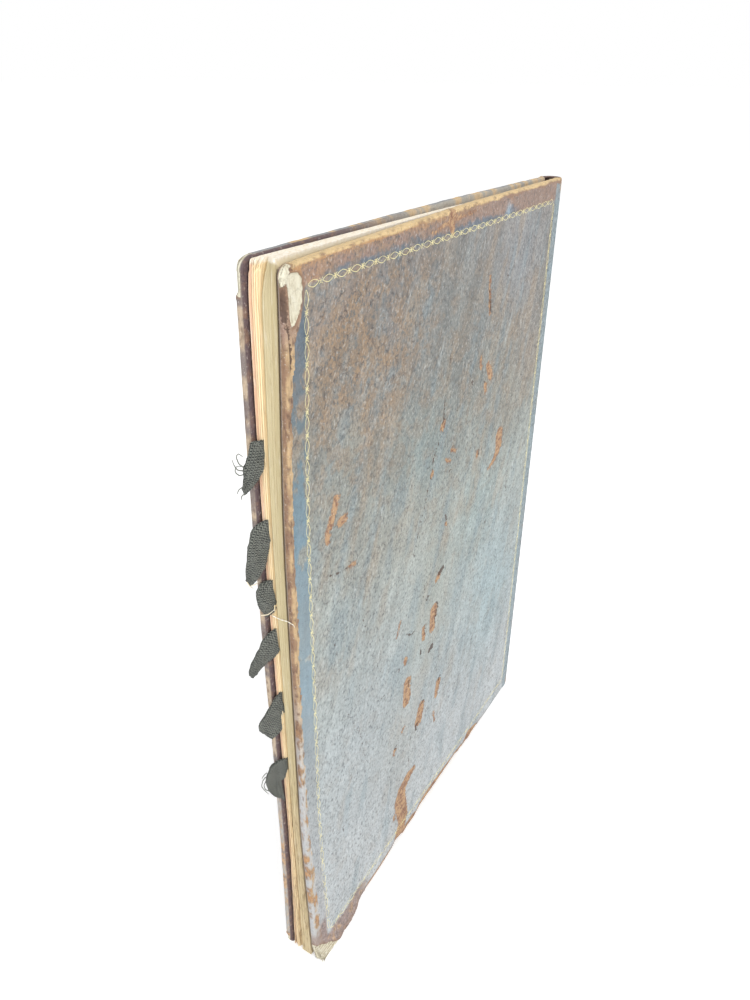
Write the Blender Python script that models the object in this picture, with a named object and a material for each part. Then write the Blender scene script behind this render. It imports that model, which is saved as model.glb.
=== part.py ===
"""A thin folio book in full leather, standing on its tail as in the photograph.

All sizes are in metres. X runs from the spine to the fore-edge, Y from the front cover to the rear
cover and Z from the tail of the book up to its head. Each cover is first laid out flat, with its
depth counted inwards from its outer face, and is then bent to the shape that it has warped to.
"""

import math

import bmesh
import bpy
from mathutils import Matrix, Vector

# The cover as a whole
cover_height = 0.3360
cover_width = 0.2310
cover_corner_radius = 0.0055
least_corner_radius = 0.0008
cover_edge_radius = 0.0011
hinge_x = -0.11655
rear_face_y = 0.0068
spine_thickness = 0.0110
fit_gap = 0.00025
joint_gap = 0.0003
overshoot = 0.01

# The layers of one cover
leather_thickness = 0.0008
pasteboard_thickness = 0.0016
turn_in_thickness = 0.0005
turn_in_width = 0.0150
pastedown_sheet = 0.0003
pastedown_margin = 0.0055
cover_thickness = leather_thickness + pasteboard_thickness + turn_in_thickness + 2 * fit_gap

# The gilt border and its shallow channel
gilt_from_hinge = 0.0053
gilt_from_fore_edge = 0.0115
gilt_from_tail = 0.0105
gilt_from_head = 0.0105
gilt_width = 0.0018
gilt_thickness = 0.00022
channel_depth = 0.00035
channel_spare = 0.00025

# The warp of the covers: the starts, ends, heights and periods are shares of the height or width
rear_head_lift = 0.0032
head_lift_start = 0.605
rear_tail_lift = 0.0029
tail_lift_end = 0.30
rear_hollow = 0.0016
hollow_tail_end = 0.12
hollow_steepness = 16
head_lift_curve = 1.5
tail_flare = 0.0034
flare_start = 0.82
flare_run = 0.06
front_splay = 0.0053
front_swell = 0.0010
swell_height = 0.731
swell_period = 1.056

# The rubbed edges of the covers, which have lost height outside the gilt line
rim_height = 0.0095
rear_head_wear = 0.0028
front_head_wear = 0.0019
head_wear_start = 0.42
head_wear_curve = 1.2
rear_tail_wear = 0.0030
tail_wear_start = 0.304
tail_wear_end = 0.73
tail_wear_run_in = 0.042
tail_wear_run_out = 0.08

# The text block
head_square = 0.0009
tail_square = 0.0006
fore_edge_square = 0.0010
spine_square = 0.0035
head_slant = 0.0013
block_gap = 0.0002
block_spine_reach = 0.0026
block_spine_round = 0.0014
cleft_depth = 0.0016
cleft_place = 0.60
cleft_spread = 0.035
cleft_fall = 0.056
cleft_step = 0.05
rear_corner_wear = 0.0050
front_corner_wear = 0.0012
worn_corner_start = 0.955
leaf_unevenness = 0.0007
waves_across = 37.0
waves_up = 9.0
wave_slant = 4.0
spine_square_end = 0.5
spine_square_run = 0.4

# The spine
spine_round = 0.0076
spine_squareness = 2.6
spine_end_wear = 0.42
headcap_thickness = 0.0009
headcap_reach = 0.0028
endband_radius = 0.0010
cord_radius = 0.0007
cord_kerf_spare = 0.0002
cord_places = (0.10, 0.30, 0.50, 0.70, 0.90)

# The ribbon tabs: the root's share of the cover's height, then root width, middle width, tip width,
# reach, lean and drop
ribbon_thickness = 0.0007
tab_root_depth = 0.0050
tab_pocket_spare = 0.00015
tab_leaf = 0.14
tab_swing = 0.46 * math.pi
tab_widest = 0.35
tab_drop_curve = 1.5
ripple_depth = 0.0005
ripples_across = 5.0
ripples_along = 4.0
edge_tilt = 0.6
tab_shapes = {
    "index_tab_1": (0.8022, 0.0112, 0.0140, 0.0128, 0.0066, 0.0030, 0.0050),
    "index_tab_2": (0.7099, 0.0105, 0.0195, 0.0175, 0.0060, 0.0046, 0.0088),
    "index_tab_3": (0.6310, 0.0112, 0.0126, 0.0126, 0.0040, 0.0024, -0.0008),
    "index_tab_4": (0.5639, 0.0128, 0.0150, 0.0040, 0.0068, 0.0080, 0.0126),
    "index_tab_5": (0.4524, 0.0165, 0.0195, 0.0040, 0.0070, 0.0046, 0.0030),
    "index_tab_6": (0.3567, 0.0140, 0.0190, 0.0060, 0.0070, 0.0044, 0.0030),
}

# Leather lost at the corners: distance in from the fore-edge, then up from the tail or down from the head
tail_tear = (
    (-0.001, -0.001), (-0.001, 0.0105), (0.0022, 0.0082), (0.0048, 0.0066),
    (0.0080, 0.0050), (0.0100, 0.0030), (0.0115, -0.001),
)
head_scar = (
    (0.0040, 0.0012), (0.0063, 0.0014), (0.0083, 0.0048), (0.0081, 0.0091), (0.0067, 0.0134),
    (0.0045, 0.0182), (0.0031, 0.0192), (0.0021, 0.0140), (0.0019, 0.0062),
)
head_rub = (
    (-0.001, -0.001), (0.0060, -0.001), (0.0046, 0.0024), (0.0030, 0.0046),
    (0.0022, 0.0082), (0.0012, 0.0112), (-0.001, 0.0122),
)

# Where the pieces are sliced to follow a bend, as shares of the cover's width and height
bend_columns = (0.130, 0.304, 0.346, 0.477, 0.651, 0.730, 0.820, 0.880, 0.930, 0.960, 0.983)
bend_rows = (0.0136, 0.0300, 0.066, 0.115, 0.187, 0.287, 0.392, 0.498, 0.603, 0.700, 0.790, 0.875, 0.932, 0.9717)
spine_rows = (0.012, 0.060, 0.136, 0.271, 0.500, 0.730, 0.866, 0.940, 0.988)

colours = {
    "rear_leather": (0.42, 0.47, 0.50),
    "front_leather": (0.42, 0.45, 0.47),
    "spine_leather": (0.34, 0.40, 0.45),
    "pasteboard": (0.80, 0.76, 0.66),
    "endpaper": (0.80, 0.74, 0.60),
    "gilt": (0.86, 0.80, 0.52),
    "pages": (0.80, 0.72, 0.54),
    "ribbon": (0.10, 0.11, 0.10),
    "thread": (0.86, 0.84, 0.78),
    "cord": (0.62, 0.54, 0.40),
}

front_face_y = rear_face_y - spine_thickness
inner_depth = cover_thickness
block_tail = tail_square
block_head = cover_height - head_square
block_fore_edge = cover_width - fore_edge_square
block_tail_at_spine = spine_square
block_head_at_spine = cover_height - spine_square


def clear_scene():
    """Removes whatever the file opened with."""
    for item in list(bpy.data.objects):
        bpy.data.objects.remove(item, do_unlink=True)


def material(name, colour, roughness, metallic=0.0):
    """A plain material of one colour."""
    made = bpy.data.materials.new(name)
    made.use_nodes = True
    shader = made.node_tree.nodes["Principled BSDF"]
    shader.inputs["Base Color"].default_value = (*colour, 1.0)
    shader.inputs["Roughness"].default_value = roughness
    shader.inputs["Metallic"].default_value = metallic
    return made


def smooth_step(value):
    """0 below 0, 1 above 1 and an even rise between them."""
    part = min(1.0, max(0.0, value))
    return part * part * (3.0 - 2.0 * part)


def rear_warp(along, up):
    """How far the rear cover's face stands out of its plane, towards +Y.

    It lifts at the head and the tail and lies a little hollow inside the fore-edge.
    """
    along = max(0.0, along)
    head = rear_head_lift * smooth_step((up - head_lift_start) / (1.0 - head_lift_start)) ** head_lift_curve
    tail = rear_tail_lift * smooth_step(1.0 - up / tail_lift_end)
    fade = (1.0 - min(1.0, along) ** hollow_steepness) * smooth_step(up / hollow_tail_end)
    hollow = rear_hollow * along**2 * fade
    return along * (head + tail) - hollow


def front_warp(along, up):
    """How far the front cover's face stands out of its plane, towards -Y."""
    swell = front_swell * math.cos(2 * math.pi * (up - swell_height) / swell_period)
    return max(0.0, along) * (front_splay + swell)


def rear_y(along, up, depth):
    """Y of a point at this depth below the rear cover's outer face."""
    return rear_face_y + rear_warp(along, up) - depth


def front_y(along, up, depth):
    """Y of a point at this depth below the front cover's outer face."""
    return front_face_y - front_warp(along, up) + depth


def head_wear(along, height, loss):
    """How much height the head edge has lost here: nothing at the gilt line, the loss at the corner."""
    outside = max(0.0, 1.0 - (cover_height - height) / rim_height)
    part = min(1.0, max(0.0, (along - head_wear_start) / (1.0 - head_wear_start)))
    return loss * part**head_wear_curve * outside


def rear_place(a, depth, height):
    """Where a point of the flat rear cover comes to lie.

    Its head and tail edges are rubbed short, and outside the gilt line its tail corner flares.
    """
    along = a / cover_width
    flare = tail_flare * smooth_step((along - flare_start) / flare_run) * max(0.0, 1.0 - height / gilt_from_tail)
    outside = max(0.0, 1.0 - height / rim_height)
    run_out = smooth_step((along - tail_wear_end + tail_wear_run_out) / tail_wear_run_out)
    middle = smooth_step((along - tail_wear_start) / tail_wear_run_in) - run_out
    rubbed = height - head_wear(along, height, rear_head_wear) + rear_tail_wear * middle * outside
    return hinge_x + a, rear_y(along, height / cover_height, depth) + flare, rubbed


def front_place(a, depth, height):
    """Where a point of the flat front cover comes to lie, with its head edge rubbed short."""
    along = a / cover_width
    rubbed = height - head_wear(along, height, front_head_wear)
    return hinge_x + a, front_y(along, height / cover_height, depth), rubbed


def add_object(name, mesh, skin):
    """Puts a mesh in the scene as a named object with one material."""
    made = bpy.data.objects.new(name, mesh)
    bpy.context.scene.collection.objects.link(made)
    made.data.materials.clear()
    made.data.materials.append(skin)
    return made


def object_from(bm, name, skin):
    """Finishes a bmesh as a closed object whose faces all look outwards."""
    bmesh.ops.remove_doubles(bm, verts=bm.verts, dist=1e-7)
    bmesh.ops.recalc_face_normals(bm, faces=bm.faces)
    mesh = bpy.data.meshes.new(name)
    bm.to_mesh(mesh)
    bm.free()
    return add_object(name, mesh, skin)


def prism(outline, low, high):
    """A closed prism: the outline is a list of (a, z) points and depth runs from low to high."""
    bm = bmesh.new()
    ring = [bm.verts.new((a, low, z)) for a, z in outline]
    face = bm.faces.new(ring)
    lifted = bmesh.ops.extrude_face_region(bm, geom=[face])
    for item in lifted["geom"]:
        if isinstance(item, bmesh.types.BMVert):
            item.co.y = high
    bmesh.ops.recalc_face_normals(bm, faces=bm.faces)
    return bm


def cover_outline(inset, spine_side):
    """The plan of a cover, drawn in by the inset on its three free sides, as (a, z) points."""
    radius = max(least_corner_radius, cover_corner_radius - inset)
    far, low, high = cover_width - inset, inset, cover_height - inset
    points = [(spine_side, low)]
    for k in range(5):
        turn = math.pi / 2 * (k / 4 - 1)
        points.append((far - radius + radius * math.cos(turn), low + radius + radius * math.sin(turn)))
    for k in range(5):
        turn = math.pi / 2 * (k / 4)
        points.append((far - radius + radius * math.cos(turn), high - radius + radius * math.sin(turn)))
    points.append((spine_side, high))
    return points


def rectangle(left, right, low, high):
    """Four corners of a rectangle, as (a, z) points."""
    return [(left, low), (right, low), (right, high), (left, high)]


def cut(bm, cutters, join=False):
    """Takes the cutters away from a body, or joins them to it, and gives the result back."""
    skin = bpy.data.materials.get("cutter") or bpy.data.materials.new("cutter")
    body = object_from(bm, "body", skin)
    tools = []
    for index, tool in enumerate(cutters):
        knife = object_from(tool, f"knife_{index}", skin)
        knife.hide_render = True
        knife.display_type = "WIRE"
        step = body.modifiers.new(f"cut_{index}", "BOOLEAN")
        step.operation = "UNION" if join else "DIFFERENCE"
        step.solver = "EXACT"
        step.object = knife
        tools.append(knife)
    bpy.context.view_layer.update()
    shape = body.evaluated_get(bpy.context.evaluated_depsgraph_get())
    result = bmesh.new()
    result.from_mesh(shape.to_mesh())
    for item in [body, *tools]:
        bpy.data.objects.remove(item, do_unlink=True)
    bmesh.ops.remove_doubles(result, verts=result.verts, dist=2e-6)
    return result


def slice_at(bm, point, across):
    """Cuts every face of a body along one plane, and keeps both sides."""
    everything = bm.verts[:] + bm.edges[:] + bm.faces[:]
    bmesh.ops.bisect_plane(bm, geom=everything, dist=2e-6, plane_co=point, plane_no=across)


def slice_for_bending(bm):
    """Adds rows and columns of vertices, so that the flat piece can follow a bend."""
    for share in bend_columns:
        slice_at(bm, (share * cover_width, 0, 0), (1, 0, 0))
    for share in bend_rows:
        slice_at(bm, (0, 0, share * cover_height), (0, 0, 1))


def bend_into_place(bm, place):
    """Moves a flat cover piece to its cover and gives it that cover's warp and rubbed edges."""
    for vertex in bm.verts:
        vertex.co = place(*vertex.co)
    bmesh.ops.triangulate(bm, faces=bm.faces[:], quad_method="BEAUTY", ngon_method="BEAUTY")


def rounded_cover_body():
    """The outer form of a cover, with its three free edges rounded on both faces."""
    bm = prism(cover_outline(0.0, joint_gap / 2), 0.0, cover_thickness)
    spine_side = joint_gap / 2 + 1e-5
    rim = [
        edge
        for edge in bm.edges
        if abs(edge.verts[0].co.y - edge.verts[1].co.y) < 1e-7
        and max(edge.verts[0].co.x, edge.verts[1].co.x) > spine_side
    ]
    bmesh.ops.bevel(
        bm, geom=rim, offset=cover_edge_radius, offset_type="OFFSET", segments=2, profile=0.5, affect="EDGES"
    )
    return bm


def cover_leather(name, place, wear, skin):
    """The leather of one cover: its face, the three covered edges and the turn-ins."""
    cavity = prism(
        cover_outline(leather_thickness, -overshoot),
        leather_thickness,
        cover_thickness - turn_in_thickness,
    )
    window = prism(
        rectangle(-overshoot, cover_width - turn_in_width, turn_in_width, cover_height - turn_in_width),
        leather_thickness + pasteboard_thickness / 2,
        cover_thickness + overshoot,
    )
    outer, inner = gilt_frame(gilt_width / 2 + channel_spare)
    channel = frame_prism(outer, inner, -overshoot, channel_depth)
    tools = [cavity, window, channel]
    for outline, low, high in wear:
        tools.append(prism(outline, low, high))
    bm = cut(rounded_cover_body(), tools)
    slice_for_bending(bm)
    bend_into_place(bm, place)
    return object_from(bm, name, skin)


def cover_board(name, place, skin):
    """The pasteboard that stiffens one cover."""
    bm = prism(
        cover_outline(leather_thickness + fit_gap, joint_gap / 2),
        leather_thickness + fit_gap,
        leather_thickness + fit_gap + pasteboard_thickness,
    )
    slice_for_bending(bm)
    bend_into_place(bm, place)
    return object_from(bm, name, skin)


def pastedown(name, place, skin):
    """The endpaper glued inside a cover, packed out level with the turn-ins below it."""
    low = leather_thickness + 2 * fit_gap + pasteboard_thickness
    ledge = cover_thickness + fit_gap
    high = ledge + pastedown_sheet
    edge = turn_in_width + fit_gap
    wide = rectangle(joint_gap / 2, cover_width - pastedown_margin, pastedown_margin, cover_height - pastedown_margin)
    narrow = rectangle(joint_gap / 2, cover_width - edge, edge, cover_height - edge)
    bm = bmesh.new()
    top = [bm.verts.new((a, high, z)) for a, z in wide]
    step = [bm.verts.new((a, ledge, z)) for a, z in wide]
    root = [bm.verts.new((a, ledge, z)) for a, z in narrow]
    base = [bm.verts.new((a, low, z)) for a, z in narrow]
    bm.faces.new(top)
    bm.faces.new(base)
    for upper, lower in ((top, step), (root, base)):
        for n in range(3):
            bm.faces.new((upper[n], upper[n + 1], lower[n + 1], lower[n]))
    bm.faces.new((*step, root[3], root[2], root[1], root[0]))
    bm.faces.new((top[0], top[3], step[3], root[3], base[3], base[0], root[0], step[0]))
    slice_for_bending(bm)
    bend_into_place(bm, place)
    return object_from(bm, name, skin)


def gilt_frame(half_width):
    """The outer and inner rectangle of the gilt line, half_width to each side of its middle."""
    left, right = gilt_from_hinge, cover_width - gilt_from_fore_edge
    low, high = gilt_from_tail, cover_height - gilt_from_head
    outer = rectangle(left - half_width, right + half_width, low - half_width, high + half_width)
    inner = rectangle(left + half_width, right - half_width, low + half_width, high - half_width)
    return outer, inner


def frame_prism(outer, inner, low, high):
    """A closed rectangular frame between two rectangles."""
    bm = bmesh.new()
    rings = []
    for outline, depth in ((outer, low), (inner, low), (inner, high), (outer, high)):
        rings.append([bm.verts.new((a, depth, z)) for a, z in outline])
    for k in range(4):
        here, following = rings[k], rings[(k + 1) % 4]
        for n in range(4):
            m = (n + 1) % 4
            bm.faces.new((here[n], here[m], following[m], following[n]))
    bmesh.ops.recalc_face_normals(bm, faces=bm.faces)
    return bm


def gilt_border(name, place, skin):
    """The gold roll impressed round one cover."""
    outer, inner = gilt_frame(gilt_width / 2)
    top = channel_depth - fit_gap / 2 - gilt_thickness
    bm = frame_prism(outer, inner, top, top + gilt_thickness)
    slice_for_bending(bm)
    bend_into_place(bm, place)
    return object_from(bm, name, skin)


def block_point(along, up, across):
    """A point of the text block: along 0 at the spine to 1 at the fore-edge, across 0 rear to 1 front.

    The leaves fill the room between the covers, so the block takes its rear face from the rear
    cover and its front face from the front cover.
    """
    depth = inner_depth + fit_gap + pastedown_sheet + block_gap
    arch = 1.0 - (2.0 * across - 1.0) ** 2
    spine_edge = -block_spine_reach - block_spine_round * arch
    in_front = smooth_step((across - cleft_place) / cleft_step)
    corner = rear_corner_wear * smooth_step(across / cleft_place) * (1.0 - in_front) + front_corner_wear * in_front
    worn_head = max(0.0, up - worn_corner_start) / (1.0 - worn_corner_start)
    cleft = math.exp(-(((across - cleft_place) / cleft_fall) ** 2)) * cleft_depth
    wave = leaf_unevenness * math.sin(waves_across * across) * math.sin(waves_up * up + wave_slant * across)
    fore_edge = block_fore_edge - cleft - abs(wave) - corner * worn_head**2
    a = spine_edge + (fore_edge - spine_edge) * along
    near_spine = smooth_step((spine_square_end - along) / spine_square_run)
    tail = block_tail + (block_tail_at_spine - block_tail) * near_spine
    head = block_head + (block_head_at_spine - block_head) * near_spine - head_slant * across * (1.0 - near_spine)
    z = tail + (head - tail) * up
    share, height = min(1.0, max(0.0, a / cover_width)), z / cover_height
    rear = rear_y(share, height, depth)
    front = front_y(share, height, depth)
    return Vector((hinge_x + a, rear + (front - rear) * across, z))


def block_grid():
    """The text block as a closed box of grids, before its pockets and kerfs are cut."""
    along = [0.0, 0.05, 0.2, 0.36, 0.52, 0.68, 0.80, 0.89, 0.955, 1.0]
    up = [k / 14 for k in range(14)] + [worn_corner_start, (1.0 + worn_corner_start) / 2, 1.0]
    behind = [cleft_place * share for share in (0.0, 0.33, 0.67)]
    before = [1.0 - (1.0 - cleft_place) * share for share in (0.7, 0.35, 0.0)]
    across = [*behind, cleft_place - cleft_spread, cleft_place, cleft_place + cleft_spread, *before]
    bm = bmesh.new()
    found = {}

    def corner(i, j, k):
        if (i, j, k) not in found:
            found[i, j, k] = bm.verts.new(block_point(along[i], up[j], across[k]))
        return found[i, j, k]

    last = len(along) - 1, len(up) - 1, len(across) - 1
    for i in range(last[0]):
        for j in range(last[1]):
            for k in (0, last[2]):
                bm.faces.new((corner(i, j, k), corner(i + 1, j, k), corner(i + 1, j + 1, k), corner(i, j + 1, k)))
        for k in range(last[2]):
            for j in (0, last[1]):
                bm.faces.new((corner(i, j, k), corner(i + 1, j, k), corner(i + 1, j, k + 1), corner(i, j, k + 1)))
    for j in range(last[1]):
        for k in range(last[2]):
            for i in (0, last[0]):
                bm.faces.new((corner(i, j, k), corner(i, j + 1, k), corner(i, j + 1, k + 1), corner(i, j, k + 1)))
    bmesh.ops.triangulate(bm, faces=bm.faces[:], quad_method="BEAUTY")
    bmesh.ops.recalc_face_normals(bm, faces=bm.faces)
    return bm


def tab_root(name):
    """Height of a tab's root, and Y of the leaf that carries it, which lies in front of the cleft."""
    height = tab_shapes[name][0] * cover_height
    up = (height - block_tail) / (block_head - block_tail)
    return height, block_point(1.0, up, cleft_place + tab_leaf).y


def block_box(low, high):
    """A plain box between two corners given in the row's frame."""
    bm = bmesh.new()
    made = bmesh.ops.create_cube(bm, size=1.0)
    middle = (Vector(low) + Vector(high)) / 2
    size = Vector(high) - Vector(low)
    for vertex in made["verts"]:
        vertex.co = Vector((vertex.co.x * size.x, vertex.co.y * size.y, vertex.co.z * size.z)) + middle
    return bm


def text_block(skin):
    """All the leaves as one body, with a pocket round each tab's root and a kerf for each cord."""
    tools = []
    for name, shape in tab_shapes.items():
        height, y = tab_root(name)
        half = ribbon_thickness / 2 + tab_pocket_spare
        tall = shape[1] / 2 + tab_pocket_spare
        inside = hinge_x + block_fore_edge - tab_root_depth - tab_pocket_spare
        tools.append(block_box((inside, y - half, height - tall), (inside + 5 * overshoot, y + half, height + tall)))
    for place in cord_places:
        z = cover_height * place
        half = cord_radius + cord_kerf_spare
        deep = hinge_x - block_spine_reach + 2 * cord_radius + cord_kerf_spare
        tools.append(block_box((deep - overshoot, -overshoot, z - half), (deep, overshoot, z + half)))
    bm = cut(block_grid(), tools)
    bmesh.ops.triangulate(bm, faces=bm.faces[:], quad_method="BEAUTY", ngon_method="BEAUTY")
    return object_from(bm, "text_block", skin)


def tab_width(part, root_width, middle_width, tip_width):
    """Width of a tab at a share of its way out: it spreads from the root and then narrows to the tip."""
    if part < tab_widest:
        return root_width + (middle_width - root_width) * smooth_step(part / tab_widest)
    return middle_width + (tip_width - middle_width) * (part - tab_widest) / (1.0 - tab_widest)


def ribbon_tab(name, skin):
    """A ribbon folded over the edge of a leaf: it leaves its pocket, leans to the front and hangs."""
    height, y = tab_root(name)
    root_width, middle_width, tip_width, reach, lean, drop = tab_shapes[name][1:]
    start = block_fore_edge - tab_root_depth
    straight = cover_width + ribbon_thickness / 2
    rows = [(start, 0.0), (straight - 2 * ribbon_thickness, 0.0)]
    rows += [(straight, k / 6) for k in range(1, 7)]
    sides = (-0.5, -0.17, 0.17, 0.5)
    across = [(side, 1.0) for side in sides] + [(side, -1.0) for side in reversed(sides)]
    bm = bmesh.new()
    rings = []
    for base, part in rows:
        swing = part * tab_swing
        a = base + reach * math.sin(swing) / math.sin(tab_swing)
        bend = lean * (1.0 - math.cos(swing)) / (1.0 - math.cos(tab_swing))
        sink = drop * part**tab_drop_curve
        width = tab_width(part, root_width, middle_width, tip_width)
        ring = []
        for side, face in across:
            half = face * ribbon_thickness / 2
            ripple = ripple_depth * part * math.sin(side * ripples_across + part * ripples_along)
            x = hinge_x + a + half * math.sin(swing) * edge_tilt
            aside = y - bend + ripple + half * math.cos(swing * edge_tilt)
            ring.append(bm.verts.new((x, aside, height - sink + side * width)))
        rings.append(ring)
    for here, following in zip(rings, rings[1:]):
        for n in range(8):
            m = (n + 1) % 8
            bm.faces.new((here[n], here[m], following[m], following[n]))
    bm.faces.new(rings[0])
    bm.faces.new(rings[-1])
    bmesh.ops.triangulate(bm, faces=bm.faces[:], quad_method="BEAUTY", ngon_method="BEAUTY")
    return object_from(bm, name, skin)


def spine_profile(inset):
    """The rounded back of the spine in plan, drawn in by the inset, from the rear joint to the front."""
    middle = (rear_face_y + front_face_y) / 2
    half = spine_thickness / 2 - inset
    deep = spine_round - inset
    points = []
    power = 2.0 / spine_squareness
    for k in range(13):
        turn = math.pi * k / 12
        out = deep * abs(math.sin(turn)) ** power
        aside = math.copysign(half * abs(math.cos(turn)) ** power, math.cos(turn))
        points.append((hinge_x - joint_gap / 2 - out, middle + aside))
    return points


def upright_prism(outline, low, high):
    """A closed prism with its outline in X and Y."""
    bm = bmesh.new()
    ring = [bm.verts.new((x, y, low)) for x, y in outline]
    face = bm.faces.new(ring)
    lifted = bmesh.ops.extrude_face_region(bm, geom=[face])
    for item in lifted["geom"]:
        if isinstance(item, bmesh.types.BMVert):
            item.co.z = high
    bmesh.ops.recalc_face_normals(bm, faces=bm.faces)
    return bm


def wear_spine(bm):
    """Slices the spine into rows and draws its ends in, where the caps are worn."""
    for share in spine_rows:
        slice_at(bm, (0, 0, share * cover_height), (0, 0, 1))
    for vertex in bm.verts:
        from_middle = abs(2.0 * vertex.co.z / cover_height - 1.0)
        kept = 1.0 - spine_end_wear * from_middle**6
        start = hinge_x - block_spine_reach - block_spine_round
        if vertex.co.x < start:
            vertex.co.x = start + (vertex.co.x - start) * kept


def spine_leather(skin):
    """The leather over the back, turned in at the head and the tail as a cap."""
    body = upright_prism(spine_profile(0.0), 0.0, cover_height)
    inner = spine_profile(leather_thickness)
    far = hinge_x + overshoot
    hollow = upright_prism(
        [(far, inner[0][1]), *inner, (far, inner[-1][1])],
        headcap_thickness,
        cover_height - headcap_thickness,
    )
    reach = hinge_x - joint_gap / 2 - spine_round + headcap_reach
    rear_side = [point for point in inner[:7] if point[0] > reach]
    front_side = [point for point in inner[6:] if point[0] > reach]
    opening = [(far, inner[0][1]), *rear_side, *front_side, (far, inner[-1][1])]
    trim = upright_prism(opening, -overshoot, cover_height + overshoot)
    bm = cut(body, [hollow, trim])
    wear_spine(bm)
    bmesh.ops.triangulate(bm, faces=bm.faces[:], quad_method="BEAUTY", ngon_method="BEAUTY")
    return object_from(bm, "spine_leather", skin)


def spine_lining(skin):
    """The paper lining that packs the space between the folded leaves and the leather of the spine."""
    outer = spine_profile(leather_thickness + fit_gap)
    depth = inner_depth + fit_gap + pastedown_sheet + block_gap
    rear, front = rear_face_y - depth, front_face_y + depth
    inner = []
    for k in range(9):
        across = k / 8
        arch = 1.0 - (2.0 * across - 1.0) ** 2
        a = -block_spine_reach - block_spine_round * arch - fit_gap
        inner.append((hinge_x + a, front + (rear - front) * across))
    shoulder = hinge_x - block_spine_reach - fit_gap
    outline = [point for point in outer if point[0] < shoulder - 1e-5] + inner
    bm = upright_prism(outline, block_tail_at_spine, block_head_at_spine)
    wear_spine(bm)
    bmesh.ops.triangulate(bm, faces=bm.faces[:], quad_method="BEAUTY", ngon_method="BEAUTY")
    return object_from(bm, "spine_lining", skin)


def round_bar(name, a, z, radius, skin):
    """A short round bar lying across the thickness of the leaves."""
    depth = inner_depth + fit_gap + pastedown_sheet + block_gap
    length = spine_thickness - 2 * depth - 2 * fit_gap
    bm = bmesh.new()
    bmesh.ops.create_cone(
        bm, cap_ends=True, cap_tris=False, segments=12, radius1=radius, radius2=radius, depth=length
    )
    middle = (rear_face_y + front_face_y) / 2
    place = Matrix.Translation((hinge_x + a, middle, z)) @ Matrix.Rotation(math.pi / 2, 4, "X")
    bm.transform(place)
    made = object_from(bm, name, skin)
    for polygon in made.data.polygons:
        polygon.use_smooth = len(polygon.vertices) == 4
    return made


def build():
    """Builds every piece of the book."""
    clear_scene()
    skins = {}
    for name, colour in colours.items():
        shine = 0.35 if name == "gilt" else 0.75
        skins[name] = material(name, colour, shine, 0.8 if name == "gilt" else 0.0)

    torn_tail = [(cover_width - from_fore_edge, z) for from_fore_edge, z in tail_tear]
    teardrop = [(cover_width - from_fore_edge, cover_height - from_head) for from_fore_edge, from_head in head_scar]
    worn_head = [(cover_width - from_fore_edge, cover_height - from_head) for from_fore_edge, from_head in head_rub]
    through = (-overshoot, cover_thickness + overshoot)
    half_way = (-overshoot, leather_thickness + pasteboard_thickness / 2)

    cover_leather("rear_leather", rear_place, [(torn_tail, *through), (teardrop, *half_way)], skins["rear_leather"])
    cover_leather("front_leather", front_place, [(worn_head, *half_way)], skins["front_leather"])
    for side, place in (("rear", rear_place), ("front", front_place)):
        cover_board(f"{side}_board", place, skins["pasteboard"])
        pastedown(f"{side}_pastedown", place, skins["endpaper"])
        gilt_border(f"{side}_gilt_border", place, skins["gilt"])

    text_block(skins["pages"])
    spine_leather(skins["spine_leather"])
    spine_lining(skins["endpaper"])
    band_a = -block_spine_reach - block_spine_round + endband_radius
    over_leaves = endband_radius + fit_gap
    round_bar("head_endband", band_a, block_head_at_spine + over_leaves, endband_radius, skins["thread"])
    round_bar("tail_endband", band_a, block_tail_at_spine - over_leaves, endband_radius, skins["thread"])
    for index, place in enumerate(cord_places, start=1):
        round_bar(f"sewing_cord_{index}", -block_spine_reach + cord_radius, cover_height * place, cord_radius, skins["cord"])
    for name in tab_shapes:
        ribbon_tab(name, skins["ribbon"])
    bpy.context.view_layer.update()


build()
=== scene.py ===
import math

import bmesh
import bpy
import numpy as np
from mathutils import Matrix


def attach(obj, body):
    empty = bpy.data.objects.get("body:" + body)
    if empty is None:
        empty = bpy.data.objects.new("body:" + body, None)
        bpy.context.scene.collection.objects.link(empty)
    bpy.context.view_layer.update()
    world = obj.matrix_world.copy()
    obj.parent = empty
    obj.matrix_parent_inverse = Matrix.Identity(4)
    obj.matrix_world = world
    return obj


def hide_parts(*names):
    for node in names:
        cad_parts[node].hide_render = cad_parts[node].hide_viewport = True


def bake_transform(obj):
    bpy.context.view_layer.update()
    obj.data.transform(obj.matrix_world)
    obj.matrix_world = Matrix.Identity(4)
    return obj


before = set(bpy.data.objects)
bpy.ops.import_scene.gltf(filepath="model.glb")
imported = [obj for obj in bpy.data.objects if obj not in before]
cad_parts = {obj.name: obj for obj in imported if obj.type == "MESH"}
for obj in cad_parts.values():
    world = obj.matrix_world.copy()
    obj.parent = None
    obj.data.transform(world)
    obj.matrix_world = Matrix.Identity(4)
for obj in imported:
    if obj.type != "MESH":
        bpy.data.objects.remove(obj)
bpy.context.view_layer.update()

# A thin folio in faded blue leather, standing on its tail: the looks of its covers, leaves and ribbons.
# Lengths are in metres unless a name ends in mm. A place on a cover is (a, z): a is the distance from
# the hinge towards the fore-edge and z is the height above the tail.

mm = 0.001
merge_distance = 2e-6

# The covers
cover_height = 0.3360
cover_width = 0.2310
corner_radius = 0.0055
edge_radius = 0.0011
hinge_x = -0.11655
rear_face = 0.0068
spine_thickness = 0.0110
front_face = rear_face - spine_thickness
leather_thickness = 0.0008
cover_thickness = 0.0034
joint_start = -0.0022
joint_gap = 0.0003
gilt_from_hinge = 0.0053
gilt_from_fore_edge = 0.0115
gilt_from_tail = 0.0105
gilt_from_head = 0.0105

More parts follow.
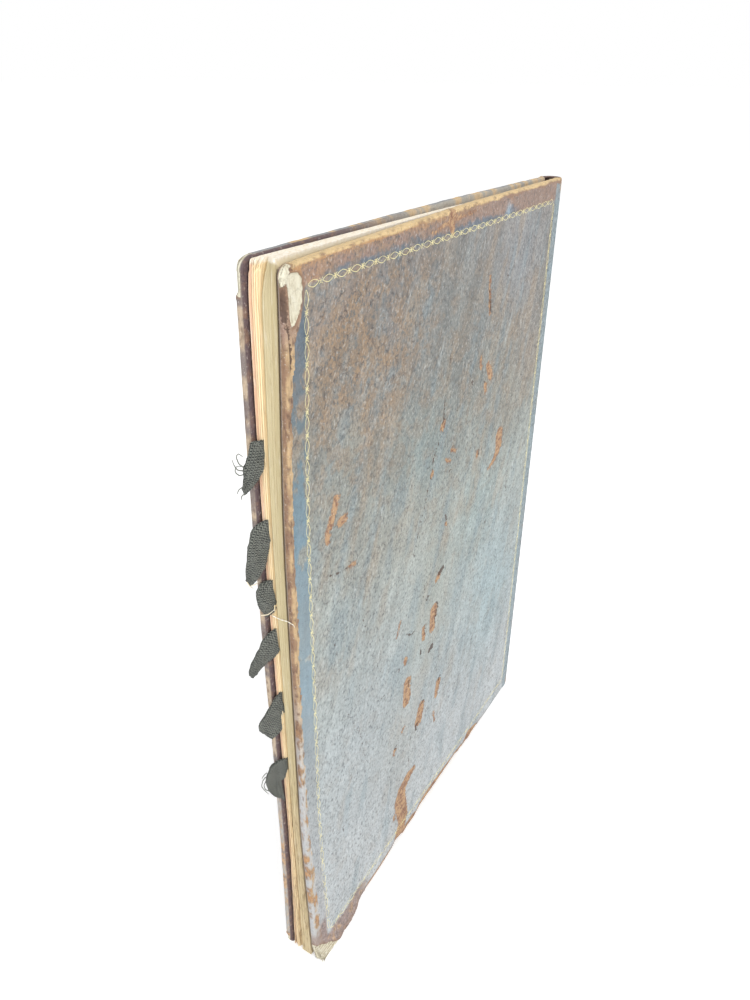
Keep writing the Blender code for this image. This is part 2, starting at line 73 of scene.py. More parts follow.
# The warp of the covers: starts, ends, heights and periods are shares of the height or width
rear_head_lift = 0.0032
head_lift_start = 0.605
head_lift_curve = 1.5
rear_tail_lift = 0.0029
tail_lift_end = 0.30
rear_hollow = 0.0016
hollow_tail_end = 0.12
hollow_steepness = 16
tail_flare = 0.0034
flare_start = 0.82
flare_run = 0.06
front_splay = 0.0053
front_swell = 0.0010
swell_height = 0.731
swell_period = 1.056

# The rubbed edges, which have lost height outside the gilt line; the tail's loss is in mm at each place
rim_height = 0.0095
rear_head_wear = 0.0028
front_head_wear = 0.0019
head_wear_start = 0.42
head_wear_curve = 1.2
tail_wear_places = [22, 34, 46, 57, 63, 70, 74, 79, 85, 98, 116, 125, 133, 139, 145, 148, 154, 162, 173, 181]
tail_wear_depths = [
    0, 0, 1.1, 0.5, 0.9, 1.5, 1.4, 3.6, 3.2, 3.1, 3.4, 3.7, 0.4, 1.4, 0.4, 2.7, 4.0, 1.0, 0, 0,
]

# The text block
head_square = 0.0009
tail_square = 0.0006
fore_edge_square = 0.0010
spine_square = 0.0035
head_slant = 0.0013
block_tail = tail_square
block_head = cover_height - head_square
block_fore_edge = cover_width - fore_edge_square
block_depth = 0.00415
block_spine_reach = 0.0026
block_spine_round = 0.0014
cleft_place = 0.60
cleft_depth = 0.0016
cleft_fall = 0.056
cleft_step = 0.05
rear_corner_wear = 0.0050
front_corner_wear = 0.0012
worn_corner_start = 0.955
spine_square_end = 0.5
spine_square_run = 0.4
leaf_count = 46
leaf_bevel = 0.16
leaf_groove = 0.00042
first_groove = 0.00035

# The spine
spine_round = 0.0076
spine_squareness = 2.6
spine_end_wear = 0.42
headcap_thickness = 0.0009
headcap_reach = 0.0028

# The relief of the leather, as depths below its plain face, and how far off a mark is still reckoned
broad_hollow = 0.00010
small_hollow = 0.00003
gilt_channel = 0.00016
gilt_channel_reach = 0.0012
scuff_depth = 0.00028
crack_depth = 0.00045
torn_depth = 0.00075
torn_lip = 0.00030
mark_reach_mm = 9.0

# The gilt roll: one lozenge and one cross in each pitch, how bright the gold is on each side, and how far
# up the fore-edge it is dull
roll_pitch = 0.0084
lozenge_half_length = 0.0029
lozenge_half_width = 0.00116
cross_half_length = 0.00115
cross_shortening = 0.0002
cross_half_width = 0.00100
dot_radius = 0.00012
dot_places = (-0.00063, 0.00063)
gold_line = 0.00021
gold_crest = 0.00009
gold_foot = -0.00003
side_brightness = (-0.10, 0.22, 0.12, 0.22)
rubbed_low_end = 0.12

# The wear slants across a cover: the cosine and sine of its slant
slant_cosine = 0.94
slant_sine = 0.34
streak_turn = (0.0, math.radians(-20), 0.0)

# The torn tail corner: how many sheets of pasteboard show there, and how far the tear reaches
board_sheets = 6
tear_reach = 0.0150

# The studio: tones, lamps as (name, place, size, power), and the camera's axes and place
floor_tone = (0.93, 0.93, 0.93)
floor_glow = 0.34
sky_level = 0.72
lamps = (("window", (0.9, 1.5, 1.3), 1.6, 26.0), ("left fill", (1.6, -0.7, 0.9), 1.2, 9.0))
lamp_aim = 0.16
lens_length = 28.268
camera_rows = (
    (-0.52898, -0.40314, 0.74677, 0.29491),
    (0.84861, -0.25829, 0.46168, 0.15262),
    (0.00676, 0.87793, 0.47874, 0.38232),
    (0, 0, 0, 1),
)

# The ribbon tabs: where each root lies, as a share of the cover's height, then the two long sides of the
# ribbon as it hangs, each as (out, up) in mm from the root, and the sway of the whole tab in degrees
ribbon_gap = 0.00030
ribbon_cloth = 0.00011
tab_root_depth = 0.0050
tab_leaf = 0.14
tab_sway = 50
rib_pitch = 0.00102
rib_zigzag = 0.00080
silk_thread_pitch = 0.00053
tab_shapes = {
    "index_tab_1": (
        0.8022,
        [(0.6, 5.9), (2.5, 5.6), (3.6, 5.4), (5.1, 0.2), (7.1, -5.0), (6.8, -8.4), (7.8, -11.4)],
        [(-0.4, 1.7), (-0.4, -1.3), (-0.2, -4.1), (1.0, -6.5), (2.1, -9.0), (3.9, -11.2), (7.0, -14.3)],
    ),
    "index_tab_2": (
        0.7099,
        [(0.2, 6.4), (3.0, 5.1), (4.7, 4.0), (6.3, 0.2), (7.5, -5.7), (8.4, -11.9), (9.0, -18.1)],
        [(-0.8, -1.3), (-0.5, -4.6), (0.2, -7.9), (0.9, -10.9), (1.8, -14.0), (4.5, -17.9), (7.3, -20.9)],
    ),
    "index_tab_3": (
        0.6310,
        [(-0.2, 7.6), (1.1, 7.8), (4.2, 7.0), (5.8, 2.8), (5.5, -0.6), (4.9, -4.4)],
        [(-0.8, 1.7), (-1.3, -0.8), (-1.8, -3.3), (-1.6, -5.4), (-0.8, -6.6), (2.5, -8.5)],
    ),
    "index_tab_4": (
        0.5639,
        [(-0.6, 8.5), (2.2, 6.5), (4.8, 3.5), (8.1, -4.0), (9.6, -7.0), (10.9, -9.8), (11.1, -12.9)],
        [(-1.3, -1.4), (-0.8, -3.5), (0.2, -5.5), (3.7, -8.8), (5.2, -10.2), (6.7, -11.6), (9.6, -15.0)],
    ),
    "index_tab_5": (
        0.4524,
        [(0.0, 14.2), (1.6, 12.2), (3.2, 9.8), (6.4, 4.2), (8.2, 0.8), (9.6, -2.1), (9.0, -5.0)],
        [(-1.6, 6.5), (-1.6, 4.4), (-1.4, 2.5), (-0.8, -2.0), (0.0, -6.2), (2.1, -8.3), (4.3, -10.4)],
    ),
    "index_tab_6": (
        0.3567,
        [(0.0, 10.3), (3.3, 9.5), (5.9, 7.9), (7.7, 3.1), (9.0, -1.1), (7.3, -8.2), (4.1, -12.5)],
        [(-0.4, 3.4), (0.1, 0.8), (0.6, -1.7), (2.3, -2.8), (2.2, -5.5), (1.7, -7.5), (1.2, -14.5)],
    ),
}

# Scuffs down to the raw leather: places in mm along each stroke, then half its width at both ends
raw_strokes = [
    ([(79.0, 301.3), (77.8, 294.1), (75.6, 284.5)], 1.0, 1.2),
    ([(81.7, 264.6), (80.7, 259.4)], 0.8, 1.2),
    ([(72.5, 257.9), (68.3, 251.5)], 2.0, 2.5),
    ([(73.7, 248.5), (72.8, 244.7)], 1.6, 1.3),
    ([(121.1, 333.0), (120.1, 327.2)], 3.1, 1.7),
    ([(137.3, 328.9), (120.8, 331.5), (99.9, 332.3)], 0.8, 0.8),
    ([(116.6, 243.1), (117.6, 241.5)], 2.0, 1.9),
    ([(125.0, 222.1), (125.4, 220.1)], 1.2, 1.2),
    ([(106.3, 226.2), (101.8, 223.7)], 1.3, 0.9),
    ([(111.7, 223.2), (107.6, 220.7)], 0.8, 0.9),
    ([(76.6, 213.0), (76.9, 210.5)], 1.5, 1.2),
    ([(50.3, 213.1), (49.6, 207.8), (50.6, 204.2)], 4.2, 3.3),
    ([(50.8, 204.8), (54.8, 199.9), (61.4, 197.5)], 2.8, 0.8),
    ([(108.0, 186.8), (107.2, 185.5)], 1.3, 0.9),
    ([(112.3, 158.7), (115.0, 157.1)], 2.1, 1.6),
    ([(116.2, 138.8), (117.3, 128.9)], 4.2, 3.1),
    ([(126.4, 133.8), (126.6, 127.4)], 2.1, 1.7),
    ([(150.7, 153.6), (153.4, 146.5)], 0.8, 0.6),
    ([(144.6, 126.5), (144.5, 124.4)], 1.7, 1.7),
    ([(141.7, 109.4), (142.0, 97.3)], 3.5, 3.6),
    ([(106.6, 83.7), (108.9, 75.4)], 2.8, 1.6),
    ([(125.6, 81.4), (128.8, 73.0)], 3.1, 3.9),
    ([(144.2, 80.3), (146.3, 79.1)], 1.2, 0.9),
    ([(110.9, 65.1), (109.6, 57.3)], 0.9, 0.8),
    ([(153.4, 72.0), (154.0, 70.2)], 1.6, 1.2),
    ([(132.8, 41.6), (139.6, 40.6)], 1.5, 3.3),
    ([(139.6, 40.6), (146.2, 36.6), (148.3, 31.2)], 3.6, 5.8),
    ([(148.3, 31.2), (146.5, 21.5), (145.2, 14.1), (149.6, 5.0), (151.0, 0.0)], 5.8, 4.7),
    ([(154.9, 24.2), (154.9, 21.8)], 1.3, 1.0),
    ([(71.5, 1.0), (84.0, 0.6), (99.6, 2.6), (118.0, 3.4), (126.0, 0.4)], 3.3, 4.2),
    ([(48.5, 1.5), (60.4, 5.0), (64.0, 1.0)], 2.5, 3.3),
    ([(134.2, 1.4), (150.0, 0.0)], 4.2, 4.7),
    ([(162.0, 0.6), (183.1, 0.0)], 2.3, 2.8),
    ([(201.2, 243.3), (202.9, 238.1), (205.6, 233.4)], 1.9, 2.0),
    ([(195.8, 232.0), (198.9, 231.8)], 2.1, 2.0),
    ([(207.3, 231.2), (207.3, 227.7)], 1.9, 1.7),
    ([(188.6, 207.7), (193.5, 208.3)], 1.0, 0.6),
]

# Cracks and dirty cuts: the same
dark_strokes = [
    (
        [(230.6, 330.0), (230.9, 325.0), (230.5, 318.0), (229.4, 313.0), (228.8, 306.0), (228.6, 301.0)],
        0.75, 0.35,
    ),
    ([(228.6, 335.0), (227.4, 333.8)], 0.9, 0.5),
    ([(78.3, 297.2), (76.4, 290.8), (74.4, 284.9)], 0.2, 0.5),
    ([(113.7, 275.7), (114.2, 268.3), (115.7, 261.9), (116.4, 253.7), (116.8, 244.5)], 0.15, 0.4),
    ([(115.9, 244.9), (118.2, 240.1)], 0.7, 0.4),
    ([(118.0, 240.5), (121.2, 233.7), (124.5, 228.4), (125.4, 220.7)], 0.35, 0.45),
    ([(125.4, 220.7), (128.0, 215.5), (131.9, 205.1), (135.8, 196.4)], 0.4, 0.3),
    ([(135.8, 196.4), (138.4, 189.7), (141.0, 179.1), (144.3, 170.8)], 0.3, 0.12),
    ([(89.4, 254.9), (88.7, 253.1)], 0.7, 0.6),
    ([(74.4, 250.1), (72.6, 249.5)], 0.7, 0.5),
    ([(76.5, 325.5), (76.9, 323.8)], 0.4, 0.4),
    ([(39.6, 320.6), (40.4, 318.1)], 0.35, 0.35),
    ([(45.1, 316.5), (44.0, 312.9)], 0.35, 0.3),
    ([(58.0, 299.1), (58.0, 297.9)], 0.6, 0.5),
    ([(105.2, 227.1), (106.8, 225.1)], 0.6, 0.4),
    ([(75.4, 213.9), (75.0, 211.1)], 0.6, 0.5),
    ([(107.6, 215.6), (106.3, 215.0)], 0.7, 0.6),
    ([(33.0, 184.6), (33.0, 175.6), (33.2, 169.3)], 0.2, 0.35),
    ([(108.9, 192.4), (107.5, 187.4)], 0.55, 0.7),
    ([(58.6, 171.9), (60.1, 162.6)], 0.25, 0.15),
    ([(108.6, 161.1), (111.6, 159.5)], 1.4, 1.5),
    ([(126.8, 162.5), (128.4, 154.6)], 0.3, 0.3),
    ([(123.2, 151.9), (124.6, 150.3)], 0.9, 0.7),
    ([(114.0, 142.5), (112.4, 141.3), (111.4, 139.1)], 0.35, 0.7),
    ([(112.9, 137.9), (113.6, 133.1), (114.6, 129.1)], 0.7, 0.5),
    ([(124.8, 134.7), (124.9, 129.5)], 0.5, 0.4),
    ([(144.5, 142.2), (140.0, 138.9), (136.2, 138.5)], 0.4, 0.5),
    ([(116.7, 115.7), (119.2, 114.3)], 1.8, 1.3),
    ([(128.8, 121.3), (128.5, 118.8)], 0.8, 0.7),
    ([(150.9, 125.2), (150.8, 122.6)], 0.7, 0.5),
    ([(139.4, 109.1), (139.5, 104.3)], 0.6, 0.4),
    ([(104.7, 86.9), (106.2, 83.1)], 0.8, 0.6),
    ([(123.4, 83.3), (124.6, 80.9)], 0.8, 0.6),
    ([(130.9, 69.3), (131.9, 66.9)], 1.4, 0.7),
    ([(127.2, 71.1), (131.0, 71.5)], 0.5, 0.7),
    ([(151.9, 74.1), (153.0, 72.5)], 0.8, 0.7),
    ([(138.4, 53.3), (138.3, 50.6)], 0.7, 0.6),
    ([(152.6, 74.4), (151.0, 76.5)], 0.3, 0.2),
    ([(161.4, 117.2), (176.8, 121.0)], 0.15, 0.1),
    ([(208.1, 155.3), (213.3, 152.2)], 0.2, 0.15),
    ([(200.7, 65.1), (201.7, 61.3)], 0.45, 0.3),
    ([(208.7, 73.4), (209.8, 67.7)], 0.25, 0.2),
    ([(193.5, 208.3), (199.0, 209.1), (206.6, 211.4)], 0.25, 0.3),
    ([(183.0, 176.5), (176.0, 154.5), (168.0, 135.5)], 0.12, 0.12),
    ([(196.0, 132.5), (186.0, 112.5), (180.0, 88.5)], 0.14, 0.1),
    ([(206.0, 184.5), (201.0, 164.5)], 0.12, 0.12),
    ([(98.0, 252.5), (104.0, 243.5)], 0.15, 0.15),
    ([(64.0, 154.5), (70.0, 143.5)], 0.2, 0.15),
]

# The leather torn off the rear cover's head corner, in mm
head_tear = [
    (229.6, 331.4), (227.3, 332.6), (223.6, 331.8), (221.8, 329.1), (221.2, 325.2), (221.8, 321.1),
    (223.8, 317.3), (226.1, 314.8), (227.8, 314.4), (228.9, 317.4), (229.5, 322.0), (229.8, 327.6),
]

# The colours, each as red, green and blue from 0 to 255
colours = {
    "raw leather": (192, 156, 120),
    "raw leather dark": (140, 104, 84),
    "crack": (84, 66, 58),
    "golden edge": (202, 172, 132),
    "brown edge": (146, 116, 94),
    "dark edge": (104, 80, 68),
    "mauve edge": (160, 134, 124),
    "pale blue edge": (190, 197, 202),
    "frayed edge": (232, 220, 194),
    "mottled brown": (158, 134, 108),
    "slate fleck": (92, 108, 116),
    "pasteboard": (228, 222, 200),
    "pasteboard shade": (180, 166, 136),
    # turn-in: dark purple-brown, partly the unfaded leather of the turn-ins and partly painted shade of the
    # front cover's inner margin
    "turn-in": (100, 84, 86),
    "slate patch": (96, 116, 132),
    "joint slate": (146, 164, 172),
    "gold": (244, 234, 178),
    "gold rubbed": (216, 202, 150),
    "khaki leaf": (204, 190, 150),
    "khaki leaf pale": (218, 206, 170),
    "cream leaf": (252, 232, 192),
    "pink leaf": (240, 206, 176),
    "leaf groove": (158, 130, 96),
    "ribbon": (46, 50, 48),
    "ribbon light": (128, 131, 123),
    "white thread": (240, 238, 230),
}


def tint(name):
    """A named colour as the three linear numbers that a shader takes."""
    shares = np.array(colours[name] if isinstance(name, str) else name, float) / 255.0
    return np.where(shares <= 0.04045, shares / 12.92, ((shares + 0.055) / 1.055) ** 2.4)


def smooth(value):
    """0 below 0, 1 above 1 and an even rise between them."""
    share = np.clip(value, 0.0, 1.0)
    return share * share * (3.0 - 2.0 * share)


def chance(column, row, seed):
    """A repeatable number from 0 to 1 for each pair of whole numbers."""
    mixed = (column.astype(np.int64) * 73856093) ^ (row.astype(np.int64) * 19349663) ^ (seed * 83492791)
    mixed = ((mixed ^ (mixed >> 13)) & 0xFFFFFFFF) * 1274126177
    return ((mixed ^ (mixed >> 16)) & 0xFFFFFF) / float(0xFFFFFF)


def cloud(x, y, seed, octaves=3):
    """Soft noise from -1 to 1: random values on a lattice, joined smoothly, at sizes that halve each time."""
    x, y = np.broadcast_arrays(np.asarray(x, float), np.asarray(y, float))
    total, share, reach = np.zeros(x.shape), 1.0, 0.0
    for octave in range(octaves):
        column, row = np.floor(x), np.floor(y)
        u, v = smooth(x - column), smooth(y - row)
        own = seed + octave
        low = chance(column, row, own) * (1 - u) + chance(column + 1, row, own) * u
        high = chance(column, row + 1, own) * (1 - u) + chance(column + 1, row + 1, own) * u
        total += share * (low * (1 - v) + high * v - 0.5) * 2.0
        reach += share
        share *= 0.55
        x, y = x * 2.03 + 17.1, y * 2.03 + 9.7
    return total / reach


def stations(low, high, step, close=()):
    """Places from low to high, about a step apart and closer near each (place, reach, small step)."""
    fine = np.linspace(low, high, 20001)
    gap = np.full_like(fine, step)
    for place, reach, small in close:
        gap = np.minimum(gap, small + np.maximum(0.0, np.abs(fine - place) - reach) * 0.22)
    count = np.concatenate([[0.0], np.cumsum(0.5 * (1 / gap[1:] + 1 / gap[:-1]) * np.diff(fine))])
    return np.interp(np.linspace(0.0, count[-1], int(round(count[-1])) + 1), count, fine)


def stroke_reach(strokes, a_mm, z_mm):
    """How far inside the nearest stroke each place lies, in mm; negative outside.

    A stroke is a chain of straight runs whose half width changes evenly from its start to its end.
    """
    best = np.full(a_mm.shape, -mark_reach_mm)
    for places, start_width, end_width in strokes:
        near = np.ones(a_mm.shape, bool)
        for here, row in zip((a_mm, z_mm), zip(*places)):
            near &= (here > min(row) - mark_reach_mm) & (here < max(row) + mark_reach_mm)
        runs = len(places) - 1
        for number, ((a0, z0), (a1, z1)) in enumerate(zip(places, places[1:])):
            da, dz = a1 - a0, z1 - z0
            square = da * da + dz * dz + 1e-9
            part = np.clip(((a_mm[near] - a0) * da + (z_mm[near] - z0) * dz) / square, 0, 1)
            away = np.hypot(a_mm[near] - a0 - part * da, z_mm[near] - z0 - part * dz)
            width = start_width + (end_width - start_width) * (number + part) / runs
            best[near] = np.maximum(best[near], width - away)
    return best


def outline_reach(outline, a_mm, z_mm):
    """How far inside a closed outline each place lies, in mm; negative outside."""
    away = np.full(a_mm.shape, 1e9)
    inside = np.zeros(a_mm.shape, bool)
    for (a0, z0), (a1, z1) in zip(outline, outline[1:] + outline[:1]):
        da, dz = a1 - a0, z1 - z0
        part = np.clip(((a_mm - a0) * da + (z_mm - z0) * dz) / (da * da + dz * dz), 0, 1)
        away = np.minimum(away, np.hypot(a_mm - a0 - part * da, z_mm - z0 - part * dz))
        crosses = ((z0 > z_mm) != (z1 > z_mm)) & (a_mm < a0 + (z_mm - z0) * da / (dz + 1e-12))
        inside ^= crosses
    return np.where(inside, away, -away)


def grid_faces(rows, columns, start=0):
    """The four-sided faces of a grid whose points are kept row by row."""
    index = np.arange(rows * columns).reshape(rows, columns) + start
    return np.stack([index[:-1, :-1], index[:-1, 1:], index[1:, 1:], index[1:, :-1]], -1).reshape(-1, 4)


def ring_faces(rings):
    """The faces between closed rings of points, given as rows of point numbers."""
    turned = np.roll(rings, -1, axis=1)
    return np.stack([rings[:-1], turned[:-1], turned[1:], rings[1:]], -1).reshape(-1, 4)


def border_of(rows, columns, start=0):
    """The point numbers round a grid: along the first row, up the last column, back and down."""
    index = np.arange(rows * columns).reshape(rows, columns) + start
    return np.concatenate([index[0, :-1], index[:-1, -1], index[-1, :0:-1], index[:0:-1, 0]])


def square_round(u, v):
    """How far round the edge of the unit square each border place lies, from 0 to 4."""
    return np.where(v <= 0, u, np.where(u >= 1, 1 + v, np.where(v >= 1, 3 - u, 4 - v)))


def zip_faces(fine, fine_at, coarse, coarse_at):
    """Triangles between two closed rings with different numbers of points.

    Each step of the fine ring goes to the nearest coarse point round the square, and each step of
    the coarse ring goes to the fine point where that nearest point changes.
    """
    following = np.roll(fine_at, -1)
    middle = (fine_at + np.where(following < fine_at, following + 4, following)) / 2
    apart = np.abs((middle[:, None] - coarse_at[None, :] + 2) % 4 - 2)
    owner = np.argmin(apart, axis=1)
    first = np.stack([fine, np.roll(fine, -1), coarse[owner]], -1)
    before = np.roll(owner, 1)
    change = np.nonzero(owner != before)[0]
    second = np.stack([fine[change], coarse[owner[change]], coarse[before[change]]], -1)
    return np.concatenate([first, second])


def make_piece(name, points, faces, skin, values=None, tints=None, mapping=None, flat=False):
    """A mesh object from arrays: its points, lists of faces, one material, and values kept on its points."""
    mesh = bpy.data.meshes.new(name)
    everything = [face for block in faces for face in np.asarray(block).tolist()]
    mesh.from_pydata(np.asarray(points, float).tolist(), [], everything)
    for label, numbers in (values or {}).items():
        kept = mesh.attributes.new(label, "FLOAT", "POINT")
        kept.data.foreach_set("value", np.asarray(numbers, np.float32).ravel())
    for label, tones in (tints or {}).items():
        rgba = np.concatenate([tones, np.ones((len(tones), 1))], axis=1).astype(np.float32)
        mesh.attributes.new(label, "FLOAT_COLOR", "POINT").data.foreach_set("color", rgba.ravel())
    if mapping is not None:
        corners = np.zeros(len(mesh.loops), np.int32)
        mesh.loops.foreach_get("vertex_index", corners)
        drawn = np.asarray(mapping, np.float32)[corners].ravel()
        mesh.uv_layers.new(name="UVMap").data.foreach_set("uv", drawn)
    bm = bmesh.new()
    bm.from_mesh(mesh)
    bmesh.ops.remove_doubles(bm, verts=bm.verts, dist=merge_distance)
    bmesh.ops.recalc_face_normals(bm, faces=bm.faces)
    bm.to_mesh(mesh)
    bm.free()
    if not flat:
        mesh.shade_smooth()
    piece = bpy.data.objects.new(name, mesh)
    bpy.context.scene.collection.objects.link(piece)
    mesh.materials.append(skin)
    return piece


def rear_lift(along, up):
    """How far the rear cover stands out of its plane: more at the head and the tail, with a slight hollow."""
    along = np.maximum(0.0, along)
    head = rear_head_lift * smooth((up - head_lift_start) / (1.0 - head_lift_start)) ** head_lift_curve
    tail = rear_tail_lift * smooth(1.0 - up / tail_lift_end)
    fade = (1.0 - np.minimum(1.0, along) ** hollow_steepness) * smooth(up / hollow_tail_end)
    return along * (head + tail) - rear_hollow * along**2 * fade


def front_lift(along, up):
    """How far the front cover stands out of its plane: it splays, and swells once along its height."""
    swell = front_swell * np.cos(2 * np.pi * (up - swell_height) / swell_period)
    return np.maximum(0.0, along) * (front_splay + swell)


def tail_wear(a):
    """Height that the rear cover's tail edge has lost at each place."""
    loss = np.interp(a / mm, tail_wear_places, tail_wear_depths, left=0.0, right=0.0)
    return mm * np.maximum(0.0, loss + 0.35 * np.minimum(loss, 1.0) * cloud(a / mm / 1.6, 0 * a, 77, 3))


def rubbed_height(side, a, z):
    """The height of each place after the rubbing of the head and tail edges outside the gilt line."""
    near_head = np.maximum(0.0, 1.0 - (cover_height - z) / rim_height)
    part = np.clip((a / cover_width - head_wear_start) / (1.0 - head_wear_start), 0.0, 1.0)
    loss = rear_head_wear if side == "rear" else front_head_wear
    lower = z - loss * part**head_wear_curve * near_head
    if side == "front":
        return lower
    return lower + tail_wear(a) * np.maximum(0.0, 1.0 - z / rim_height)


def cover_point(side, a, z, depth):
    """Points at a depth below a cover's outer face; left of the hinge they follow the squarish spine."""
    past = np.clip((-a - joint_gap / 2) / spine_round, 0.0, 0.98)
    fall = 1.0 - (1.0 - past**spine_squareness) ** (1.0 / spine_squareness)
    depth = depth + spine_thickness / 2 * fall
    along, up = a / cover_width, z / cover_height
    if side == "rear":
        below_gilt = np.maximum(0.0, 1.0 - z / gilt_from_tail)
        flare = tail_flare * smooth((along - flare_start) / flare_run) * below_gilt
        y = rear_face + rear_lift(along, up) + flare - depth
    else:
        y = front_face - front_lift(along, up) + depth
    return np.stack([hinge_x + a, y, rubbed_height(side, a, z)], -1)


def from_free_edges(a, z):
    """Distance in from the nearest of the tail, the fore-edge and the head."""
    return np.minimum(np.minimum(cover_width - a, z), cover_height - z)


def round_corners(a, z):
    """Draws the two free corner squares of a cover in to quarter circles, by x times root(1 - y*y/2)."""
    x = np.clip((a - (cover_width - corner_radius)) / corner_radius, 0.0, 1.0)
    y_low = np.clip((corner_radius - z) / corner_radius, 0.0, 1.0)
    y_high = np.clip((z - (cover_height - corner_radius)) / corner_radius, 0.0, 1.0)
    y = y_low + y_high
    new_a = np.where(x > 0, cover_width - corner_radius + corner_radius * x * np.sqrt(1 - y * y / 2), a)
    pulled = corner_radius * y * (1 - np.sqrt(1 - x * x / 2))
    return new_a, z + np.where(y_low > 0, pulled, 0.0) - np.where(y_high > 0, pulled, 0.0)


def border_distance(a, z):
    """Distance from the middle of the gilt line."""
    left, right = gilt_from_hinge, cover_width - gilt_from_fore_edge
    low, high = gilt_from_tail, cover_height - gilt_from_head
    outside_a = np.maximum(left - a, a - right)
    outside_z = np.maximum(low - z, z - high)
    return np.abs(np.maximum(outside_a, outside_z))


def torn_places(side, a, z):
    """How far inside a torn, bare place of the leather each point lies, in mm."""
    a_mm, z_mm = a / mm, z / mm
    from_fore, from_head = (cover_width - a) / mm, (cover_height - z) / mm
    rough = 0.5 * cloud(a_mm / 1.4, z_mm / 1.4, 31, 2)
    if side == "rear":
        scar = outline_reach(head_tear, a_mm, z_mm) + 0.25 * rough
        corner = 12.6 - from_fore * 0.80 - z_mm
        broken = 6.4 - from_fore * 1.5 - from_head * 0.70
        return np.maximum(np.maximum(scar, broken * 0.7 + 0.5 * rough), corner * 0.7 + 1.5 * rough)
    worn = 10.5 - np.hypot(from_fore * 1.6, from_head * 0.78)
    low = 7.0 - np.hypot(from_fore * 1.3, z_mm)
    return np.maximum(worn, low) + rough


def face_relief(side, a, z):
    """Depth of a cover's outer surface below its plain face.

    It is the sum of slow hollows, the pressed channel of the gilt line, the scuffs and the cracks,
    and the step down to the pasteboard where the leather is torn off, with a lip round it.
    """
    a_mm, z_mm = a / mm, z / mm
    seed = 3 if side == "rear" else 8
    depth = broad_hollow * cloud(a_mm / 34, z_mm / 34, seed, 2)
    depth = depth + small_hollow * cloud(a_mm / 5, z_mm / 5, seed + 20, 2)
    depth += gilt_channel * np.exp(-((border_distance(a, z) / gilt_channel_reach) ** 2))
    if side == "rear":
        depth += scuff_depth * smooth((stroke_reach(raw_strokes, a_mm, z_mm) + 0.35) / 0.7)
        depth += crack_depth * smooth((stroke_reach(dark_strokes, a_mm, z_mm) + 0.4) / 0.7)
        flap = smooth((10.5 - z_mm) / 3) * smooth((a_mm - 186) / 10)
        folds, small_folds = cloud(a_mm / 2.6, z_mm / 9, 33, 2), cloud(a_mm / 1.2, z_mm / 4, 34, 2)
        depth += flap * (0.00045 * folds + 0.0002 * small_folds)
        rim = smooth((a_mm - 226) / 2) + smooth((z_mm - 331) / 2)
        depth += rim * 0.00012 * cloud(a_mm / 1.8, z_mm / 1.8, 35, 3)
    torn = torn_places(side, a, z)
    depth += torn_depth * smooth((torn + 0.1) / 0.55) - torn_lip * np.exp(-(((torn + 0.7) / 0.6) ** 2))
    return depth * smooth((a + 0.0005) / 0.002)


def nibbled(side, a, z, reach):
    """Draws the outline in where the edges are rubbed: small notches that fade within a few mm."""
    seed = 51 if side == "rear" else 71
    a_mm, z_mm = a / mm, z / mm
    fade = np.exp(-reach / 0.0022)
    fore = 0.00016 + 0.00016 * cloud(z_mm / 5, seed, seed, 3) + 0.00012 * cloud(z_mm / 40, seed, seed + 5, 2)
    head = 0.00014 + 0.00016 * cloud(a_mm / 4, seed, seed + 1, 3)
    notches, nicks = cloud(a_mm / 6, seed, seed + 2, 3), cloud(a_mm / 2, seed, seed + 3, 2)
    tail = 0.00022 + 0.00045 * np.maximum(0, notches) + 0.00022 * nicks
    at_fore = (cover_width - a <= reach + 1e-6) & (a > 0.01)
    at_head = (cover_height - z <= reach + 1e-6) & (a > 0.002)
    at_tail = (z <= reach + 1e-6) & (a > 0.002)
    a = a - np.where(at_fore, np.maximum(0, fore) * fade, 0)
    z = z - np.where(at_head, np.maximum(0, head) * fade, 0)
    z = z + np.where(at_tail, np.maximum(0, tail) * fade * smooth((cover_width - 0.004 - a) / 0.01), 0)
    return a, z


def over(base, colour, amount):
    """A colour laid over a base by an amount from 0 to 1."""
    return base + (tint(colour) - base) * np.clip(amount, 0, 1)[..., None]


def layered(base, *layers):
    """Several colours laid over a base in turn, each given with its amount."""
    for colour, amount in layers:
        base = over(base, colour, amount)
    return base


def blot(a_mm, z_mm, place, spread):
    """A soft round patch: 1 in its middle and fading with distance."""
    return np.exp(-((a_mm - place[0]) / spread[0]) ** 2 - ((z_mm - place[1]) / spread[1]) ** 2)
